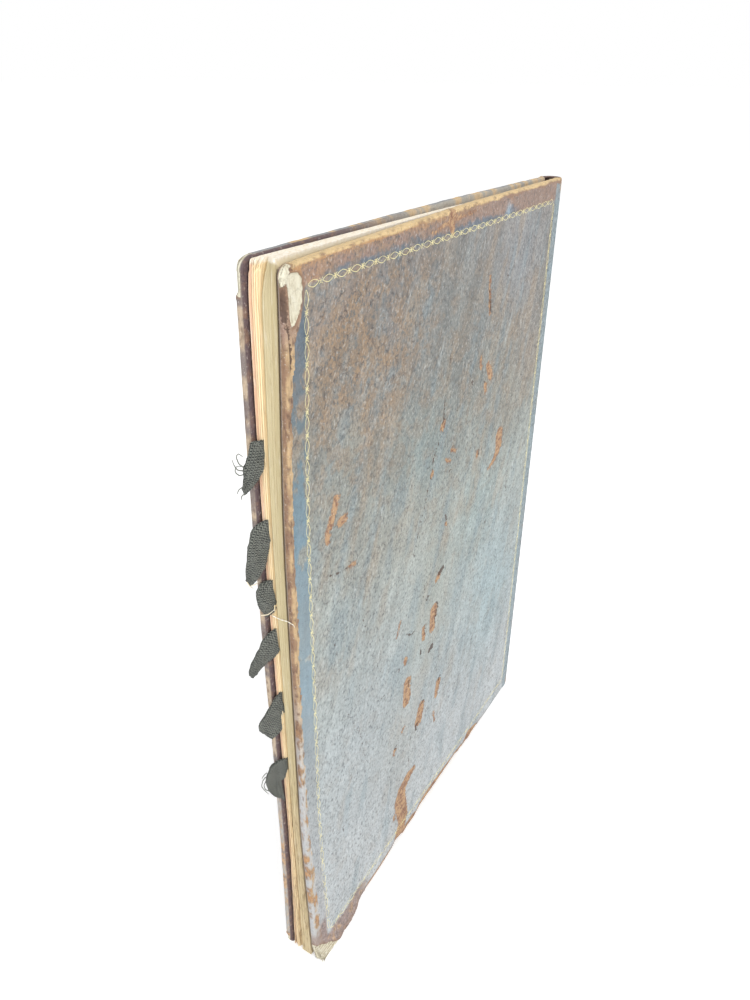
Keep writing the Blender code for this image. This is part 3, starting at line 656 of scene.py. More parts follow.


# The broad colours: each cover's tone from its tail to its head (the rear cover's paler, bluer lower part is
# partly its own colour and partly a painted sheen), then soft blots, each as a place, a spread, a colour and
# an amount
fade_heights = [0, 60, 130, 190, 240, 290, 336]
rear_tone_and_sheen = [
    (206, 211, 213), (194, 200, 202), (184, 192, 191), (180, 187, 182), (156, 159, 152), (143, 141, 134),
    (150, 144, 139),
]
front_fade = [
    (160, 158, 160), (164, 168, 172), (160, 168, 172), (148, 154, 158), (138, 140, 142), (134, 128, 126),
    (136, 120, 112),
]
rear_blots = [
    ((202, 314), (26, 14), (164, 138, 116), 0.75),
    ((190, 300), (24, 14), (132, 120, 106), 0.75),
    ((163, 304), (14, 30), (140, 133, 129), 0.65),
    ((200, 284), (24, 14), (150, 132, 112), 0.65),
    ((150, 320), (44, 8), (142, 136, 132), 0.55),
    ((122, 298), (34, 26), (146, 149, 147), 0.70),
    ((104, 268), (22, 28), (136, 139, 135), 0.80),
    ((45, 306), (30, 26), (166, 169, 172), 0.80),
    ((22, 262), (20, 30), (168, 160, 154), 0.60),
    ((176, 268), (17, 12), (172, 152, 130), 0.60),
    ((193, 257), (12, 12), (160, 166, 160), 0.55),
    ((138, 238), (24, 22), (156, 171, 170), 0.70),
    ((53, 232), (24, 26), (164, 158, 146), 0.65),
    ((160, 205), (30, 18), (184, 180, 166), 0.45),
    ((70, 176), (30, 36), (174, 190, 188), 0.75),
    ((116, 150), (20, 40), (178, 181, 169), 0.55),
    ((44, 110), (36, 46), (180, 201, 206), 0.75),
    ((132, 122), (26, 28), (174, 185, 182), 0.50),
    ((196, 166), (26, 30), (174, 182, 181), 0.55),
    ((194, 116), (40, 36), (190, 198, 202), 0.55),
    ((146, 72), (22, 34), (183, 186, 182), 0.55),
]
front_blots = [
    ((60, 90), (60, 50), (130, 116, 106), 0.6),
    ((150, 240), (60, 50), (120, 132, 142), 0.6),
    ((200, 60), (40, 60), (140, 122, 108), 0.6),
    ((110, 170), (50, 40), (168, 174, 178), 0.5),
]

# The clean slate strip outside the rear cover's gilt line: where it ends, in mm, its colours and its gaps
strip_heights = [0, 40, 70, 108, 138, 170, 193, 238, 262, 283, 307, 328]
strip_ends = [225.5, 226.0, 226.6, 227.6, 228.8, 228.4, 228.2, 228.3, 228.3, 228.2, 226.0, 219.5]
strip_colours = [
    (200, 203, 206), (192, 194, 196), (186, 190, 192), (178, 184, 186), (162, 173, 179), (146, 169, 182),
    (146, 163, 171), (126, 153, 168), (118, 142, 154), (112, 128, 136), (96, 116, 132), (110, 118, 126),
]
strip_gaps = [((226, 275), (5, 4.0), 1.0), ((224, 231), (6, 5.0), 1.0), ((226, 183), (4, 3), 0.6)]


def strip_share(a, z):
    """1 on the clean slate strip outside the rear cover's gilt line, 0 off it and in its rubbed gaps."""
    a_mm, z_mm = a / mm, z / mm
    gaps = sum(share * blot(a_mm, z_mm, place, spread) for place, spread, share in strip_gaps)
    broken_up = smooth((z_mm - 244) / 10) * smooth((304 - z_mm) / 8)
    islands = cloud(a_mm / 3.2, z_mm / 5.5, 63, 3)
    kept = smooth((islands * (1 + 0.5 * broken_up) + 0.85 - 0.60 * broken_up - 1.5 * gaps) / 0.22)
    return smooth((a_mm - 219.3) / 0.5) * kept * smooth((325.6 - z_mm) / 0.6)


def strip_end(a, z):
    """Where the slate strip ends and the rubbed rim begins at each height, with a ragged border."""
    a_mm, z_mm = a / mm, z / mm
    ragged = 1.1 * cloud(z_mm / 7, a_mm / 9, 61, 3) + 0.7 * cloud(z_mm / 1.5, a_mm / 1.5, 62, 2)
    return np.interp(z_mm, strip_heights, strip_ends) + ragged


def between_stops(places, stops, colours_at):
    """Colours read off a row of stops, smoothly between them."""
    linear = np.array([tint(colour) for colour in colours_at])
    return np.stack([np.interp(places, stops, linear[:, k]) for k in range(3)], -1)


def cover_tint(side, a, z):
    """A cover's broad colours: its tone down its height (the rear one paler low down partly as painted
    sheen), soft blots, bands and a slate strip.
    """
    a_mm, z_mm = a / mm, z / mm
    fade, blots = (rear_tone_and_sheen, rear_blots) if side == "rear" else (front_fade, front_blots)
    drift = 10 * cloud(a_mm / 40, z_mm / 40, 5, 2)
    # on the rear cover this tone is paler towards the tail partly as a painted sheen
    base = between_stops(z_mm + drift, fade_heights, fade)
    for place, spread, colour, amount in blots:
        base = over(base, colour, amount * blot(a_mm + drift, z_mm + drift, place, spread))
    across, along = a_mm * slant_cosine + z_mm * slant_sine, z_mm * slant_cosine - a_mm * slant_sine
    slant = cloud(across / 5, along / 42, 14, 3)
    patches = cloud(a_mm / 11, z_mm / 14, 15, 3)
    lively = 0.45 + 0.55 * smooth((z_mm - 110) / 90)
    base = base * (0.95 - 0.05 * lively + lively * (0.22 * slant + 0.14 * patches))[..., None]
    warm = smooth((cloud(across / 9, along / 26, 16, 3) - 0.12) / 0.4)
    base = over(base, (172, 154, 132), 0.42 * warm * (0.40 + 0.60 * smooth((z_mm - 130) / 80)))
    cool = smooth((cloud(across / 7, along / 34, 17, 3) - 0.10) / 0.4)
    base = over(base, (138, 156, 164), 0.40 * cool)
    if side == "front":
        return over(base, "joint slate", 0.8 * smooth((5.0 - a_mm) / 1.2))
    return rear_bands(a_mm, z_mm, base, strip_share(a, z))


def rear_bands(a_mm, z_mm, base, on_strip):
    """The rear cover's own bands over its broad colours: slate strip, head band, joint and worn tail, its
    bent-out corner darkened partly as painted shade.
    """
    stripes = 0.92 + 0.10 * cloud(a_mm / 2, z_mm / 12, 65, 3)
    strip_colour = between_stops(z_mm, strip_heights, strip_colours) * stripes[..., None]
    base = base + (strip_colour - base) * (on_strip * 0.95)[..., None]
    strokes = cloud(a_mm / 2.0, z_mm / 9.0, 66, 3)
    tan = 0.8 * blot(a_mm, z_mm, (213, 326), (8, 6)) + 0.40 * smooth((strokes - 0.22) / 0.3)
    crest = smooth((z_mm - 331.2 + 1.5 * cloud(a_mm / 8, 0, 64, 2)) / 2.5)
    slate_end = 329.2 + 1.6 * cloud(a_mm / 14, 0, 67, 2)
    slate = smooth((strokes + (slate_end - z_mm) / 3.0) / 0.5) * smooth((a_mm - 48) / 16)
    band = over(base, (158, 132, 118), 0.9)
    band = over(band, (188, 146, 116), tan)
    band = over(band, (184, 144, 104), 0.75 * crest * smooth((a_mm - 80) / 50))
    band = over(band, "slate patch", 0.8 * slate * smooth((214 - a_mm) / 5))
    base = base + (band - base) * smooth((z_mm - 325.6) / 0.6)[..., None]
    # the mauve below the gilt line near the tail corner is worn leather, and its darkness is partly painted
    # shade of the corner bent outwards
    low = smooth((10.2 - z_mm + 1.2 * cloud(a_mm / 5, z_mm / 5, 68, 3)) / 1.4) * smooth((a_mm - 178) / 16)
    corner = smooth((24 - z_mm + 5 * cloud(a_mm / 3, z_mm / 7, 70, 3)) / 5)
    low = np.maximum(low, smooth((a_mm - 220.5) / 1.5) * corner)
    tan_spots = smooth((cloud(a_mm / 3, z_mm / 3, 69, 3) - 0.15) / 0.3)
    gold_spots = smooth((cloud(a_mm / 5, z_mm / 6, 71, 3) - 0.16) / 0.25)
    gold_spots = gold_spots * blot(a_mm, z_mm, (190, 282), (40, 34))
    return layered(
        base,
        ("joint slate", 0.8 * smooth((4.4 - a_mm) / 1.2)),
        ((158, 136, 128), 0.92 * low),
        ((206, 168, 126), 0.7 * low * tan_spots),
        ((158, 134, 122), 0.7 * smooth((4.2 - z_mm) / 1.4) * smooth((a_mm - 20) / 40)),
        ((186, 152, 116), 0.55 * gold_spots),
        ((176, 198, 214), 0.8 * blot(a_mm, z_mm, (64.5, 328.7), (2.6, 2.4))),
    )


def rim_tint(side, a, z, depth):
    """The colours of the rubbed rims: golden on the round, brown on the wall, with dark and frayed places."""
    a_mm, z_mm, depth_mm = a / mm, z / mm, depth / mm
    lumps = cloud(a_mm / 4, z_mm / 7, 301, 3)
    small = cloud(a_mm / 1.6 + depth_mm, z_mm / 2.0, 302, 3)
    wall = smooth((depth_mm - 0.35 + 0.4 * small) / 0.4)
    at_head = smooth((z_mm - 330.0) / 2.0)
    crest = smooth((z_mm - 333.7 + 0.8 * cloud(a_mm / 7, 0, 303, 2) - 0.6 * smooth((100 - a_mm) / 60)) / 1.2)
    dark = (1 - 0.7 * smooth((120 - z_mm) / 40)) * (1 - 0.75 * at_head)
    frayed = smooth((depth_mm - 2.35 + 0.5 * small) / 0.35)
    ends = (
        ("dark edge", 0.75 * dark * smooth((small - 0.20) / 0.25)),
        ("frayed edge", 0.80 * frayed * (1.0 if side == "rear" else 0.4)),
    )
    if side == "front":
        return layered(
            np.broadcast_to(tint((196, 176, 152)), a.shape + (3,)),
            ((138, 126, 122), smooth((lumps + 0.10) / 0.30)),
            ((166, 172, 178), 0.75 * smooth((150 - z_mm) / 60) * smooth((small + 0.3) / 0.3)),
            ((208, 166, 120), 0.80 * smooth((120 - z_mm) / 30) * smooth((lumps + small + 0.05) / 0.3)),
            ((150, 158, 162), 0.7 * at_head * smooth((lumps + 0.2) / 0.3)),
            ((222, 184, 124), 0.7 * at_head * smooth((-0.05 - lumps) / 0.2)),
            *ends,
        )
    low = smooth((185 - z_mm) / 70)
    browned = 0.75 * wall * (1 - at_head) + smooth((lumps + 0.05) / 0.35) * (0.85 - 0.3 * at_head)
    mauve = 0.7 * smooth((z_mm - 306) / 8) * (1 - at_head) * smooth((0.3 - lumps) / 0.3)
    return layered(
        np.broadcast_to(tint("golden edge"), a.shape + (3,)),
        ("brown edge", browned),
        ("mauve edge", mauve),
        ((150, 122, 106), 0.9 * at_head * (1 - crest) * smooth((130 - a_mm + 30 * lumps) / 40)),
        ((186, 140, 96), 0.7 * at_head * (1 - crest) * smooth((a_mm - 120 - 30 * lumps) / 40)),
        ((232, 204, 152), 0.75 * at_head * np.maximum(crest * smooth((0.35 - small) / 0.3), wall)),
        ("pale blue edge", 0.80 * low * smooth((0.16 - lumps - 0.6 * small) / 0.3)),
        ((202, 156, 108), 0.8 * low * smooth((lumps + 0.5 * small - 0.22) / 0.2)),
        # mauve on the low rim near the tail corner: worn leather, darkened partly as painted shade of the
        # bent-out corner
        ((158, 136, 126), 0.85 * smooth((26 - z_mm + 8 * lumps) / 8)),
        *ends,
    )


def cover_values(side, a, z, depth, inner):
    """The numbers that the leather's material reads at each point, from its place on the cover.

    wear grows towards the free edges, mottle is the strength of the brown mottling, raw, crack and
    bare are distances inside those marks in mm, and inner is 1 on the inner face.
    """
    a_mm, z_mm = a / mm, z / mm
    lumps = cloud(a_mm / 7, z_mm / 7, 41, 3)
    end = strip_end(a, z) if side == "rear" else 226.5 + 1.5 * lumps
    fore = smooth((a_mm - end) / 0.8) * smooth((a_mm - 221.5) / 1.0)
    head = smooth((z_mm - 333.2 + 1.2 * lumps) / 1.4)
    tail = 0.9 * smooth((1.6 - z_mm + 1.2 * cloud(a_mm / 9, 0, 43, 3)) / 1.2) * smooth((a_mm - 20) / 30)
    wear = np.maximum(np.maximum(fore, head), tail)
    wear = np.maximum(wear, smooth((depth - 0.0003) / 0.0004))
    if side == "rear":
        mottle = 0.95 * blot(a_mm, z_mm, (186, 302), (52, 38)) + 0.15 * blot(a_mm, z_mm, (200, 235), (30, 34))
        mottle += 0.30 * blot(a_mm, z_mm, (90, 250), (80, 60)) + 0.16
        raw = stroke_reach(raw_strokes, a_mm, z_mm)
        crack = stroke_reach(dark_strokes, a_mm, z_mm)
    else:
        mottle = 0.5 + 0.3 * cloud(a_mm / 50, z_mm / 50, 44, 2)
        raw = crack = np.full(a_mm.shape, -mark_reach_mm)
    near_cap = smooth((z_mm - 318) / 8) * smooth((200 - a_mm) / 90)
    under = inner > 0.5
    below_face = under | ((depth > 0.0026) & (z_mm < 318))
    return {
        "wear": wear,
        "mottle": np.clip(mottle, 0, 1),
        "raw": np.where(under, -mark_reach_mm, raw),
        "crack": np.where(under, -mark_reach_mm, crack),
        "bare": np.where(below_face, -mark_reach_mm, torn_places(side, a, z)),
        "inner": inner * (1 - 0.85 * near_cap * (side == "front")),
        "calm": strip_share(a, z) * (1 - fore) * smooth((z_mm - 100) / 60) if side == "rear" else 0 * a,
    }


def edge_rounding(reach, radius):
    """Depth of a quarter round of this radius, at a distance in from the edge."""
    near = np.clip(radius - reach, 0.0, radius)
    return radius - np.sqrt(np.maximum(radius**2 - near**2, 0.0))


def cover_shell(side, skin):
    """One cover's leather as a closed shell: a fine outer face, its rounded edges and a plain inner face.

    A grid in (a, z) makes the outer face. Its border goes on as rings, down the edge and in over the
    inner face, and a coarser grid closes the shell there.
    """
    columns = stations(
        joint_start, cover_width, 0.00135,
        [(0.0, 0.0022, 0.0004), (gilt_from_hinge, 0.0008, 0.0005), (cover_width, 0.0012, 0.00028),
         (cover_width - 0.004, 0.004, 0.0007), (cover_width - gilt_from_fore_edge, 0.0008, 0.0005)],
    )
    rows = stations(
        0.0, cover_height, 0.00135,
        [(0.0, 0.0012, 0.00028), (cover_height, 0.0012, 0.00028), (gilt_from_tail, 0.0008, 0.0005),
         (cover_height - 0.012, 0.012, 0.0008), (cover_height - gilt_from_head, 0.0008, 0.0005)],
    )
    a, z = (grid.ravel() for grid in np.meshgrid(columns, rows))
    border = border_of(len(rows), len(columns))

    def thickness(place):
        return leather_thickness + (cover_thickness - leather_thickness) * smooth(place / 0.0010)

    def rounding(a, reach):
        return edge_rounding(reach, np.minimum(edge_radius, 0.45 * thickness(a)))

    blocks, marks = [], []

    def add(a, z, reach, down, relief, inner):
        near_a, near_z = round_corners(a, z)
        near_a, near_z = nibbled(side, near_a, near_z, reach)
        blocks.append(cover_point(side, near_a, near_z, down + relief))
        marks.append((near_a, near_z, down + 0 * near_a, np.full(near_a.shape, float(inner))))

    reach = from_free_edges(a, z)
    down = rounding(a, reach)
    relief = face_relief(side, *round_corners(a, z))
    add(a, z, reach, down, relief, 0)
    count = len(a)
    rings = [border]
    edge_a, edge_z, edge_reach, edge_down = a[border], z[border], reach[border], down[border]
    edge_relief = relief[border]
    thick = thickness(edge_a)
    for share in (0.2, 0.4, 0.6, 0.8, 1.0):
        depth = edge_down + (thick - 2 * edge_down) * share
        lump = cloud(edge_a / mm / 4 + edge_z / mm / 3, share * 2.1, 91, 3) * math.sin(math.pi * share)
        lump_a = edge_a - np.where(edge_a > 0.02, 0.00016 * lump, 0)
        add(lump_a, edge_z, edge_reach, depth, edge_relief * (1 - share) ** 2, 0)
        rings.append(np.arange(count, count + len(border)))
        count += len(border)
    low_a, wide, tall = joint_start, cover_width - joint_start, cover_height
    for inset in (0.0002, 0.0006, 0.0012, 0.0025, 0.0042, 0.0060):
        ring_a = low_a + inset + (edge_a - low_a) * (wide - 2 * inset) / wide
        ring_z = inset + edge_z * (tall - 2 * inset) / tall
        reach = from_free_edges(ring_a, ring_z)
        add(ring_a, ring_z, reach, thickness(ring_a) - rounding(ring_a, reach), 0, 1)
        rings.append(np.arange(count, count + len(border)))
        count += len(border)
    inner_u = stations(0.0, 1.0, 0.024, [(0.0, 0.02, 0.004)])
    inner_v = stations(0.0, 1.0, 0.020)
    u, v = (grid.ravel() for grid in np.meshgrid(inner_u, inner_v))
    inner_a, inner_z = low_a + inset + u * (wide - 2 * inset), inset + v * (tall - 2 * inset)
    add(inner_a, inner_z, np.full(u.shape, 0.006), thickness(inner_a), 0, 1)
    coarse = border_of(len(inner_v), len(inner_u))
    fine_at = square_round((edge_a - low_a) / wide, edge_z / tall)
    faces = [
        grid_faces(len(rows), len(columns)),
        ring_faces(np.array(rings)),
        zip_faces(rings[-1], fine_at, coarse + count, square_round(u[coarse], v[coarse])),
        grid_faces(len(inner_v), len(inner_u), count),
    ]
    joined = [np.concatenate([mark[k] for mark in marks]) for k in range(4)]
    values = cover_values(side, *joined)
    piece = make_piece(
        f"{side}_cover_leather", np.concatenate(blocks), faces, skin, values,
        {"tint": cover_tint(side, joined[0], joined[1]), "rim": rim_tint(side, *joined[:3])},
    )
    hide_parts(f"{side}_leather")
    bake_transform(piece)
    return piece


def side_place(number, along, across):
    """A place on the gilt line: sides run along the tail, up the fore-edge, back along the head and down."""
    left, right = gilt_from_hinge, cover_width - gilt_from_fore_edge
    low, high = gilt_from_tail, cover_height - gilt_from_head
    return [
        (left + along, low + across), (right - across, low + along),
        (right - along, high - across), (left + across, high - along),
    ][number]


def gilt_chain(side, skin):
    """The gold roll: open lozenges and small crosses in turn, each stroke a low ridge of gold on the leather.

    A lozenge is half its length times cos t and half its width times sin t, both raised to a power
    that straightens its sides. A cross is two short strokes and a bar between two dots.
    A ridge has two feet and a crest.
    """
    upright_length = cover_height - gilt_from_tail - gilt_from_head
    lengths = [cover_width - gilt_from_hinge - gilt_from_fore_edge, upright_length]
    turn = np.linspace(0, 2 * np.pi, 17)
    lozenge = np.stack([
        lozenge_half_length * np.sign(np.cos(turn)) * np.abs(np.cos(turn)) ** 1.5,
        lozenge_half_width * np.sign(np.sin(turn)) * np.abs(np.sin(turn)) ** 1.3,
    ], -1)
    t = np.linspace(-1, 1, 5)[:, None]
    turn = np.linspace(0, 2 * np.pi, 7)
    strokes = [(lozenge, 0.0)]
    for slope in (-1, 0, 1):
        reach = cross_half_length - cross_shortening * abs(slope)
        strokes.append((np.concatenate([reach * t, slope * cross_half_width * t], axis=1), 0.5))
    for place in dot_places:
        strokes.append((np.stack([dot_radius * np.cos(turn), place + dot_radius * np.sin(turn)], -1), 0.5))
    blocks, faces, count = [], [], 0
    seed = 101 if side == "rear" else 131
    for number, length in enumerate(lengths * 2):
        units = int(round(length / roll_pitch))
        step = length / units
        centres = (np.arange(units) + 0.5) * step
        for shape, offset in strokes:
            slope = np.gradient(shape, axis=0)
            slope /= np.maximum(np.linalg.norm(slope, axis=1, keepdims=True), 1e-9)
            across = np.stack([-slope[:, 1], slope[:, 0]], -1)
            for centre in centres + offset * step:
                if centre > length - 0.001:
                    continue
                middle = shape + [centre, 0.0]
                broken = cloud(middle[:, 0] / mm / 3.0 + 40 * number, middle[:, 1] / mm / 2.0, seed, 2)
                dull = 0.45 if number == 1 and centre < rubbed_low_end else 0.0
                thin = np.clip(1.25 + broken * 1.5 + (side_brightness[number] - dull), 0.12, 1.0)[:, None]
                feet = [middle - across * gold_line * thin, middle, middle + across * gold_line * thin]
                ring = []
                for foot, height in zip(feet, (gold_foot, gold_crest, gold_foot)):
                    a, z = side_place(number, foot[:, 0], foot[:, 1])
                    rise = height * (thin[:, 0] > 0.3) - 0.00002
                    ring.append(cover_point(side, a, z, face_relief(side, a, z) - rise))
                blocks.append(np.stack(ring).reshape(-1, 3))
                faces.append(ring_faces(np.arange(3 * len(shape)).reshape(3, len(shape)).T + count))
                count += 3 * len(shape)
    piece = make_piece(f"{side}_gilt_roll", np.concatenate(blocks), faces, skin)
    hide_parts(f"{side}_gilt_border")
    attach(piece, f"{side}_cover")
    return piece


def block_surface(along, up, across):
    """A point of the text block before its leaves are told apart.

    Its two faces follow the covers. The fore-edge has a cleft between two bundles, the leaves have
    lost their head corners, and the folded side is shorter than the cut side.
    """
    arch = 1.0 - (2.0 * across - 1.0) ** 2
    spine_edge = -block_spine_reach - block_spine_round * arch
    in_front = smooth((across - cleft_place) / cleft_step)
    corner = rear_corner_wear * smooth(across / cleft_place) * (1.0 - in_front) + front_corner_wear * in_front
    worn = np.maximum(0.0, up - worn_corner_start) / (1.0 - worn_corner_start)
    cleft = cleft_depth * np.exp(-(((across - cleft_place) / cleft_fall) ** 2))
    a = spine_edge + (block_fore_edge - cleft - corner * worn**2 - spine_edge) * along
    near_spine = smooth((spine_square_end - along) / spine_square_run)
    tail = block_tail + (spine_square - block_tail) * near_spine
    head = block_head - (spine_square - head_square) * near_spine - head_slant * across * (1.0 - near_spine)
    z = tail + (head - tail) * up
    share, height = np.clip(a / cover_width, 0, 1), z / cover_height
    rear = rear_face + rear_lift(share, height) - block_depth
    front = front_face - front_lift(share, height) + block_depth
    return np.stack([hinge_x + a, rear + (front - rear) * across, z], -1)


def leaf_inset(leaf, along, up, across, groove):
    """How far in from the trimmed edge each leaf ends, at the fore-edge and at the head or tail.

    Every leaf has its own offset and its own slow wave. The rear bundle is even, the front one is
    loose, and near the tail both are ragged.
    """
    own = chance(leaf, leaf * 0 + 7, 201)
    front = smooth((across - cleft_place) / 0.03)
    in_gathering = np.abs(((leaf + 3) % 8) - 4) / 4.0
    low = smooth((0.50 - up) / 0.30)
    fore = 0.00008 + own * (0.00012 + 0.00050 * front + 0.00045 * low)
    fore = fore + 0.00030 * (1 - in_gathering) * front
    fore = fore + 0.00020 * cloud(up * 9, leaf * 0.9, 211, 2) * (0.25 + 0.6 * front + low)
    fore = fore + (0.00030 * front + 0.00050 * low) * np.maximum(0, cloud(up * 60, leaf * 1.7, 212, 3))
    ends = 0.00010 + 0.00040 * chance(leaf, leaf * 0 + 9, 203) * (0.4 + 0.6 * front)
    ends = ends + 0.00022 * np.maximum(0, cloud(along * 50, leaf * 1.3, 213, 3))
    even = 1.0 - 0.55 * (1 - front) * (1 - low)
    return np.maximum(0, fore) + groove * even, np.maximum(0, ends) + 0.6 * groove


def corner_loss(leaf, across):
    """Size of the corner that each leaf has lost at the head of the fore-edge."""
    front = smooth((across - cleft_place - 0.02) / 0.03)
    return 0.0004 + front * (0.0008 + 0.0034 * chance(leaf, leaf * 0 + 5, 204))


def text_block(skin):
    """All the leaves as one closed body whose three free edges show every leaf.

    The rings run round the block. Each leaf has two rings at its own edge and one in the groove
    that follows it, and a coarse grid closes the block at its first and at its last leaf.
    """
    wide, tall = block_fore_edge + block_spine_reach, block_head - block_tail
    u_places = stations(0.0, 1.0, 0.0022 / wide, [(1.0, 0.03, 0.0009 / wide)])
    v_places = stations(0.0, 1.0, 0.0017 / tall, [(1.0, 0.03, 0.0009 / tall)])
    u, v = (grid.ravel() for grid in np.meshgrid(u_places, v_places))
    border = border_of(len(v_places), len(u_places))
    u, v = u[border], v[border]
    spine_side = (u <= 0) & (v > 0) & (v < 1)
    keep = ~spine_side | (np.arange(len(u)) % 12 == 0)
    u, v = u[keep], v[keep]
    widths = 0.55 + 0.9 * chance(np.arange(leaf_count), np.zeros(leaf_count), 221)
    edges = np.concatenate([[0.0], np.cumsum(widths) / widths.sum()])
    across_rings, leaves, grooves = [0.0], [0], [first_groove]
    for leaf in range(leaf_count):
        low, high = edges[leaf], edges[leaf + 1]
        across_rings += [low + leaf_bevel * (high - low), high - leaf_bevel * (high - low), high]
        leaves += [leaf, leaf, leaf]
        grooves += [0.0, 0.0, leaf_groove]
    across = np.array(across_rings)[:, None]
    leaf = np.array(leaves, float)[:, None]
    groove = np.array(grooves)[:, None]
    fore, ends = leaf_inset(leaf, u[None, :], v[None, :], across, groove)
    worn_tail = 0.85 * tail_wear(u * wide - block_spine_reach)[None, :] * (1.0 - 0.6 * across)
    low_v, high_v = (ends + worn_tail) / tall, 1.0 - ends / tall
    ring_u = u[None, :] * (1.0 - fore / wide)
    ring_v = low_v + v[None, :] * (high_v - low_v)
    loss = corner_loss(leaf, across)
    reach_u, reach_v = (1.0 - ring_u) * wide, (1.0 - ring_v) * tall
    uneven = 1.0 + 0.12 * cloud(leaf, 24 * u[None, :], 214, 2)
    short = np.maximum(0.0, loss * uneven - reach_u - reach_v)
    ring_u, ring_v = ring_u - 0.5 * short / wide, ring_v - 0.5 * short / tall
    wave = 0.012 * cloud(v[None, :] * 5, leaf * 0.35, 215, 2) * np.sin(np.pi * across)
    points = block_surface(ring_u, ring_v, np.clip(across + wave, 0, 1))
    shape = points.shape[:2]
    rings = np.arange(shape[0] * shape[1]).reshape(shape)
    blocks = [points.reshape(-1, 3)]
    tone = np.broadcast_to(chance(leaf, leaf * 0 + 1, 206), shape)
    place = np.broadcast_to(across, shape)
    # groove is 1 in the grooves between leaves, where the leaves' material paints shade
    dark = np.broadcast_to(groove / leaf_groove, shape)
    marks = [np.stack([tone, place, dark, np.zeros(shape)], -1).reshape(-1, 4)]
    faces = [ring_faces(rings)]
    count = rings.size
    cap_u, cap_v = stations(0.0, 1.0, 0.03), stations(0.0, 1.0, 0.022)
    grid_u, grid_v = (grid.ravel() for grid in np.meshgrid(cap_u, cap_v))
    coarse = border_of(len(cap_v), len(cap_u))
    for ring, end in ((rings[0], 0.0), (rings[-1], 1.0)):
        inner_u, inner_v = 0.004 + grid_u * 0.986, 0.004 + grid_v * 0.988
        lifted = 0.85 * tail_wear(inner_u * wide - block_spine_reach) * (1.0 - 0.6 * end) / tall
        inner_v = lifted + inner_v * (1.0 - lifted)
        blocks.append(block_surface(inner_u, inner_v, np.full(grid_u.shape, end)))
        marks.append(np.tile([0.5, end, 0.0, 1.0], (len(grid_u), 1)))
        coarse_at = square_round(grid_u[coarse], grid_v[coarse])
        faces.append(zip_faces(ring, square_round(u, v), coarse + count, coarse_at))
        faces.append(grid_faces(len(cap_v), len(cap_u), count))
        count += len(grid_u)
    marks = np.concatenate(marks)
    points = np.concatenate(blocks)
    at_head = np.zeros(len(points))
    at_head[:rings.size] = np.broadcast_to(smooth((ring_v - ring_v.max() + 0.0060) / 0.0020), shape).ravel()
    values = dict(zip(("tone", "place", "groove", "page"), marks.T))
    values["low"] = smooth((0.150 - points[:, 2]) / 0.070)
    values["head"] = at_head
    piece = make_piece("leaves", points, faces, skin, values, flat=True)
    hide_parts("text_block")
    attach(piece, "block")
    return piece


def spine_leather(skin):
    """The leather of the back: a squarish oval in plan, carried along a closed profile with two caps.

    The profile holds (inset, height) pairs: up the outer face, over the head cap, down the inner
    face and round under the tail. The ends of the back are rubbed flatter.
    """
    heights = stations(0.0014, cover_height - 0.0014, 0.0020)
    cap = headcap_thickness
    crest = [(0.0003, 0.0005), (0.0010, 0.0001), (0.0018, 0.0), (headcap_reach - 0.0003, 0.0002)]
    crest += [(headcap_reach, cap * 0.6), (headcap_reach - 0.0004, cap)]
    profile = [(0.0, z) for z in heights]
    profile += [(inset, cover_height - down) for inset, down in crest]
    profile += [(leather_thickness, cover_height - cap - 0.0002)]
    profile += [(leather_thickness, z) for z in heights[::-6][1:-1]]
    profile += [(leather_thickness, cap + 0.0002)]
    profile += [(inset, down) for inset, down in crest[::-1]]
    inset, z = (np.array(column) for column in zip(*profile))
    power = 2.0 / spine_squareness
    past = (-joint_start - joint_gap / 2 - 0.0003) / spine_round
    first = math.asin(past ** (1.0 / power))
    turn = np.linspace(first, np.pi - first, 33)[:, None]
    x = hinge_x - joint_gap / 2 - (spine_round - inset) * np.sin(turn) ** power
    aside = np.sign(np.cos(turn)) * np.abs(np.cos(turn)) ** power
    y = (rear_face + front_face) / 2 + (spine_thickness / 2 - inset) * aside
    z = np.broadcast_to(z, x.shape)
    rub = 0.00010 * cloud(z / mm / 3, turn * 6, 231, 3) + 0.00006 * cloud(z / mm / 0.9, turn * 14, 232, 2)
    outside = (inset < 0.0005)[None, :]
    x = x + np.where(outside, np.abs(rub), 0)
    from_middle = np.abs(2 * z / cover_height - 1)
    start = hinge_x - block_spine_reach - block_spine_round
    x = np.where(x < start, start + (x - start) * (1 - spine_end_wear * from_middle**6), x)
    points = np.stack([x, y, z], -1)
    rings = np.arange(points.shape[0] * points.shape[1]).reshape(points.shape[:2])
    patchy = 0.5 + 0.5 * cloud(z / mm / 12, turn * 3, 233, 3)
    rubbed_back = 0.6 * smooth((np.sin(turn) - 0.9) / 0.1) * patchy
    wear = np.maximum(smooth((from_middle - 0.90) / 0.1), rubbed_back)
    values = {"wear": wear, "inner": np.broadcast_to((inset > 0.0004).astype(float), z.shape)}
    faces = [ring_faces(rings), [rings[0].tolist()], [rings[-1].tolist()]]
    piece = make_piece("spine_back", points.reshape(-1, 3), faces, skin, values)
    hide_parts("spine_leather")
    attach(piece, "block")
    return piece


def along_side(points, t):
    """Places along one side of a tab, at shares t of its length, rounded between the given points."""
    points = np.array(points, float)
    steps = np.concatenate([[0.0], np.cumsum(np.hypot(*np.diff(points, axis=0).T))])
    steps /= steps[-1]
    sharp = np.stack([np.interp(t, steps, points[:, k]) for k in (0, 1)], -1)
    before = np.stack([np.interp(np.clip(t - 0.07, 0, 1), steps, points[:, k]) for k in (0, 1)], -1)
    after = np.stack([np.interp(np.clip(t + 0.07, 0, 1), steps, points[:, k]) for k in (0, 1)], -1)
    inner = np.clip(np.minimum(t, 1 - t) / 0.08, 0, 1)[..., None]
    return sharp * (1 - 0.5 * inner) + (before + after) * 0.25 * inner


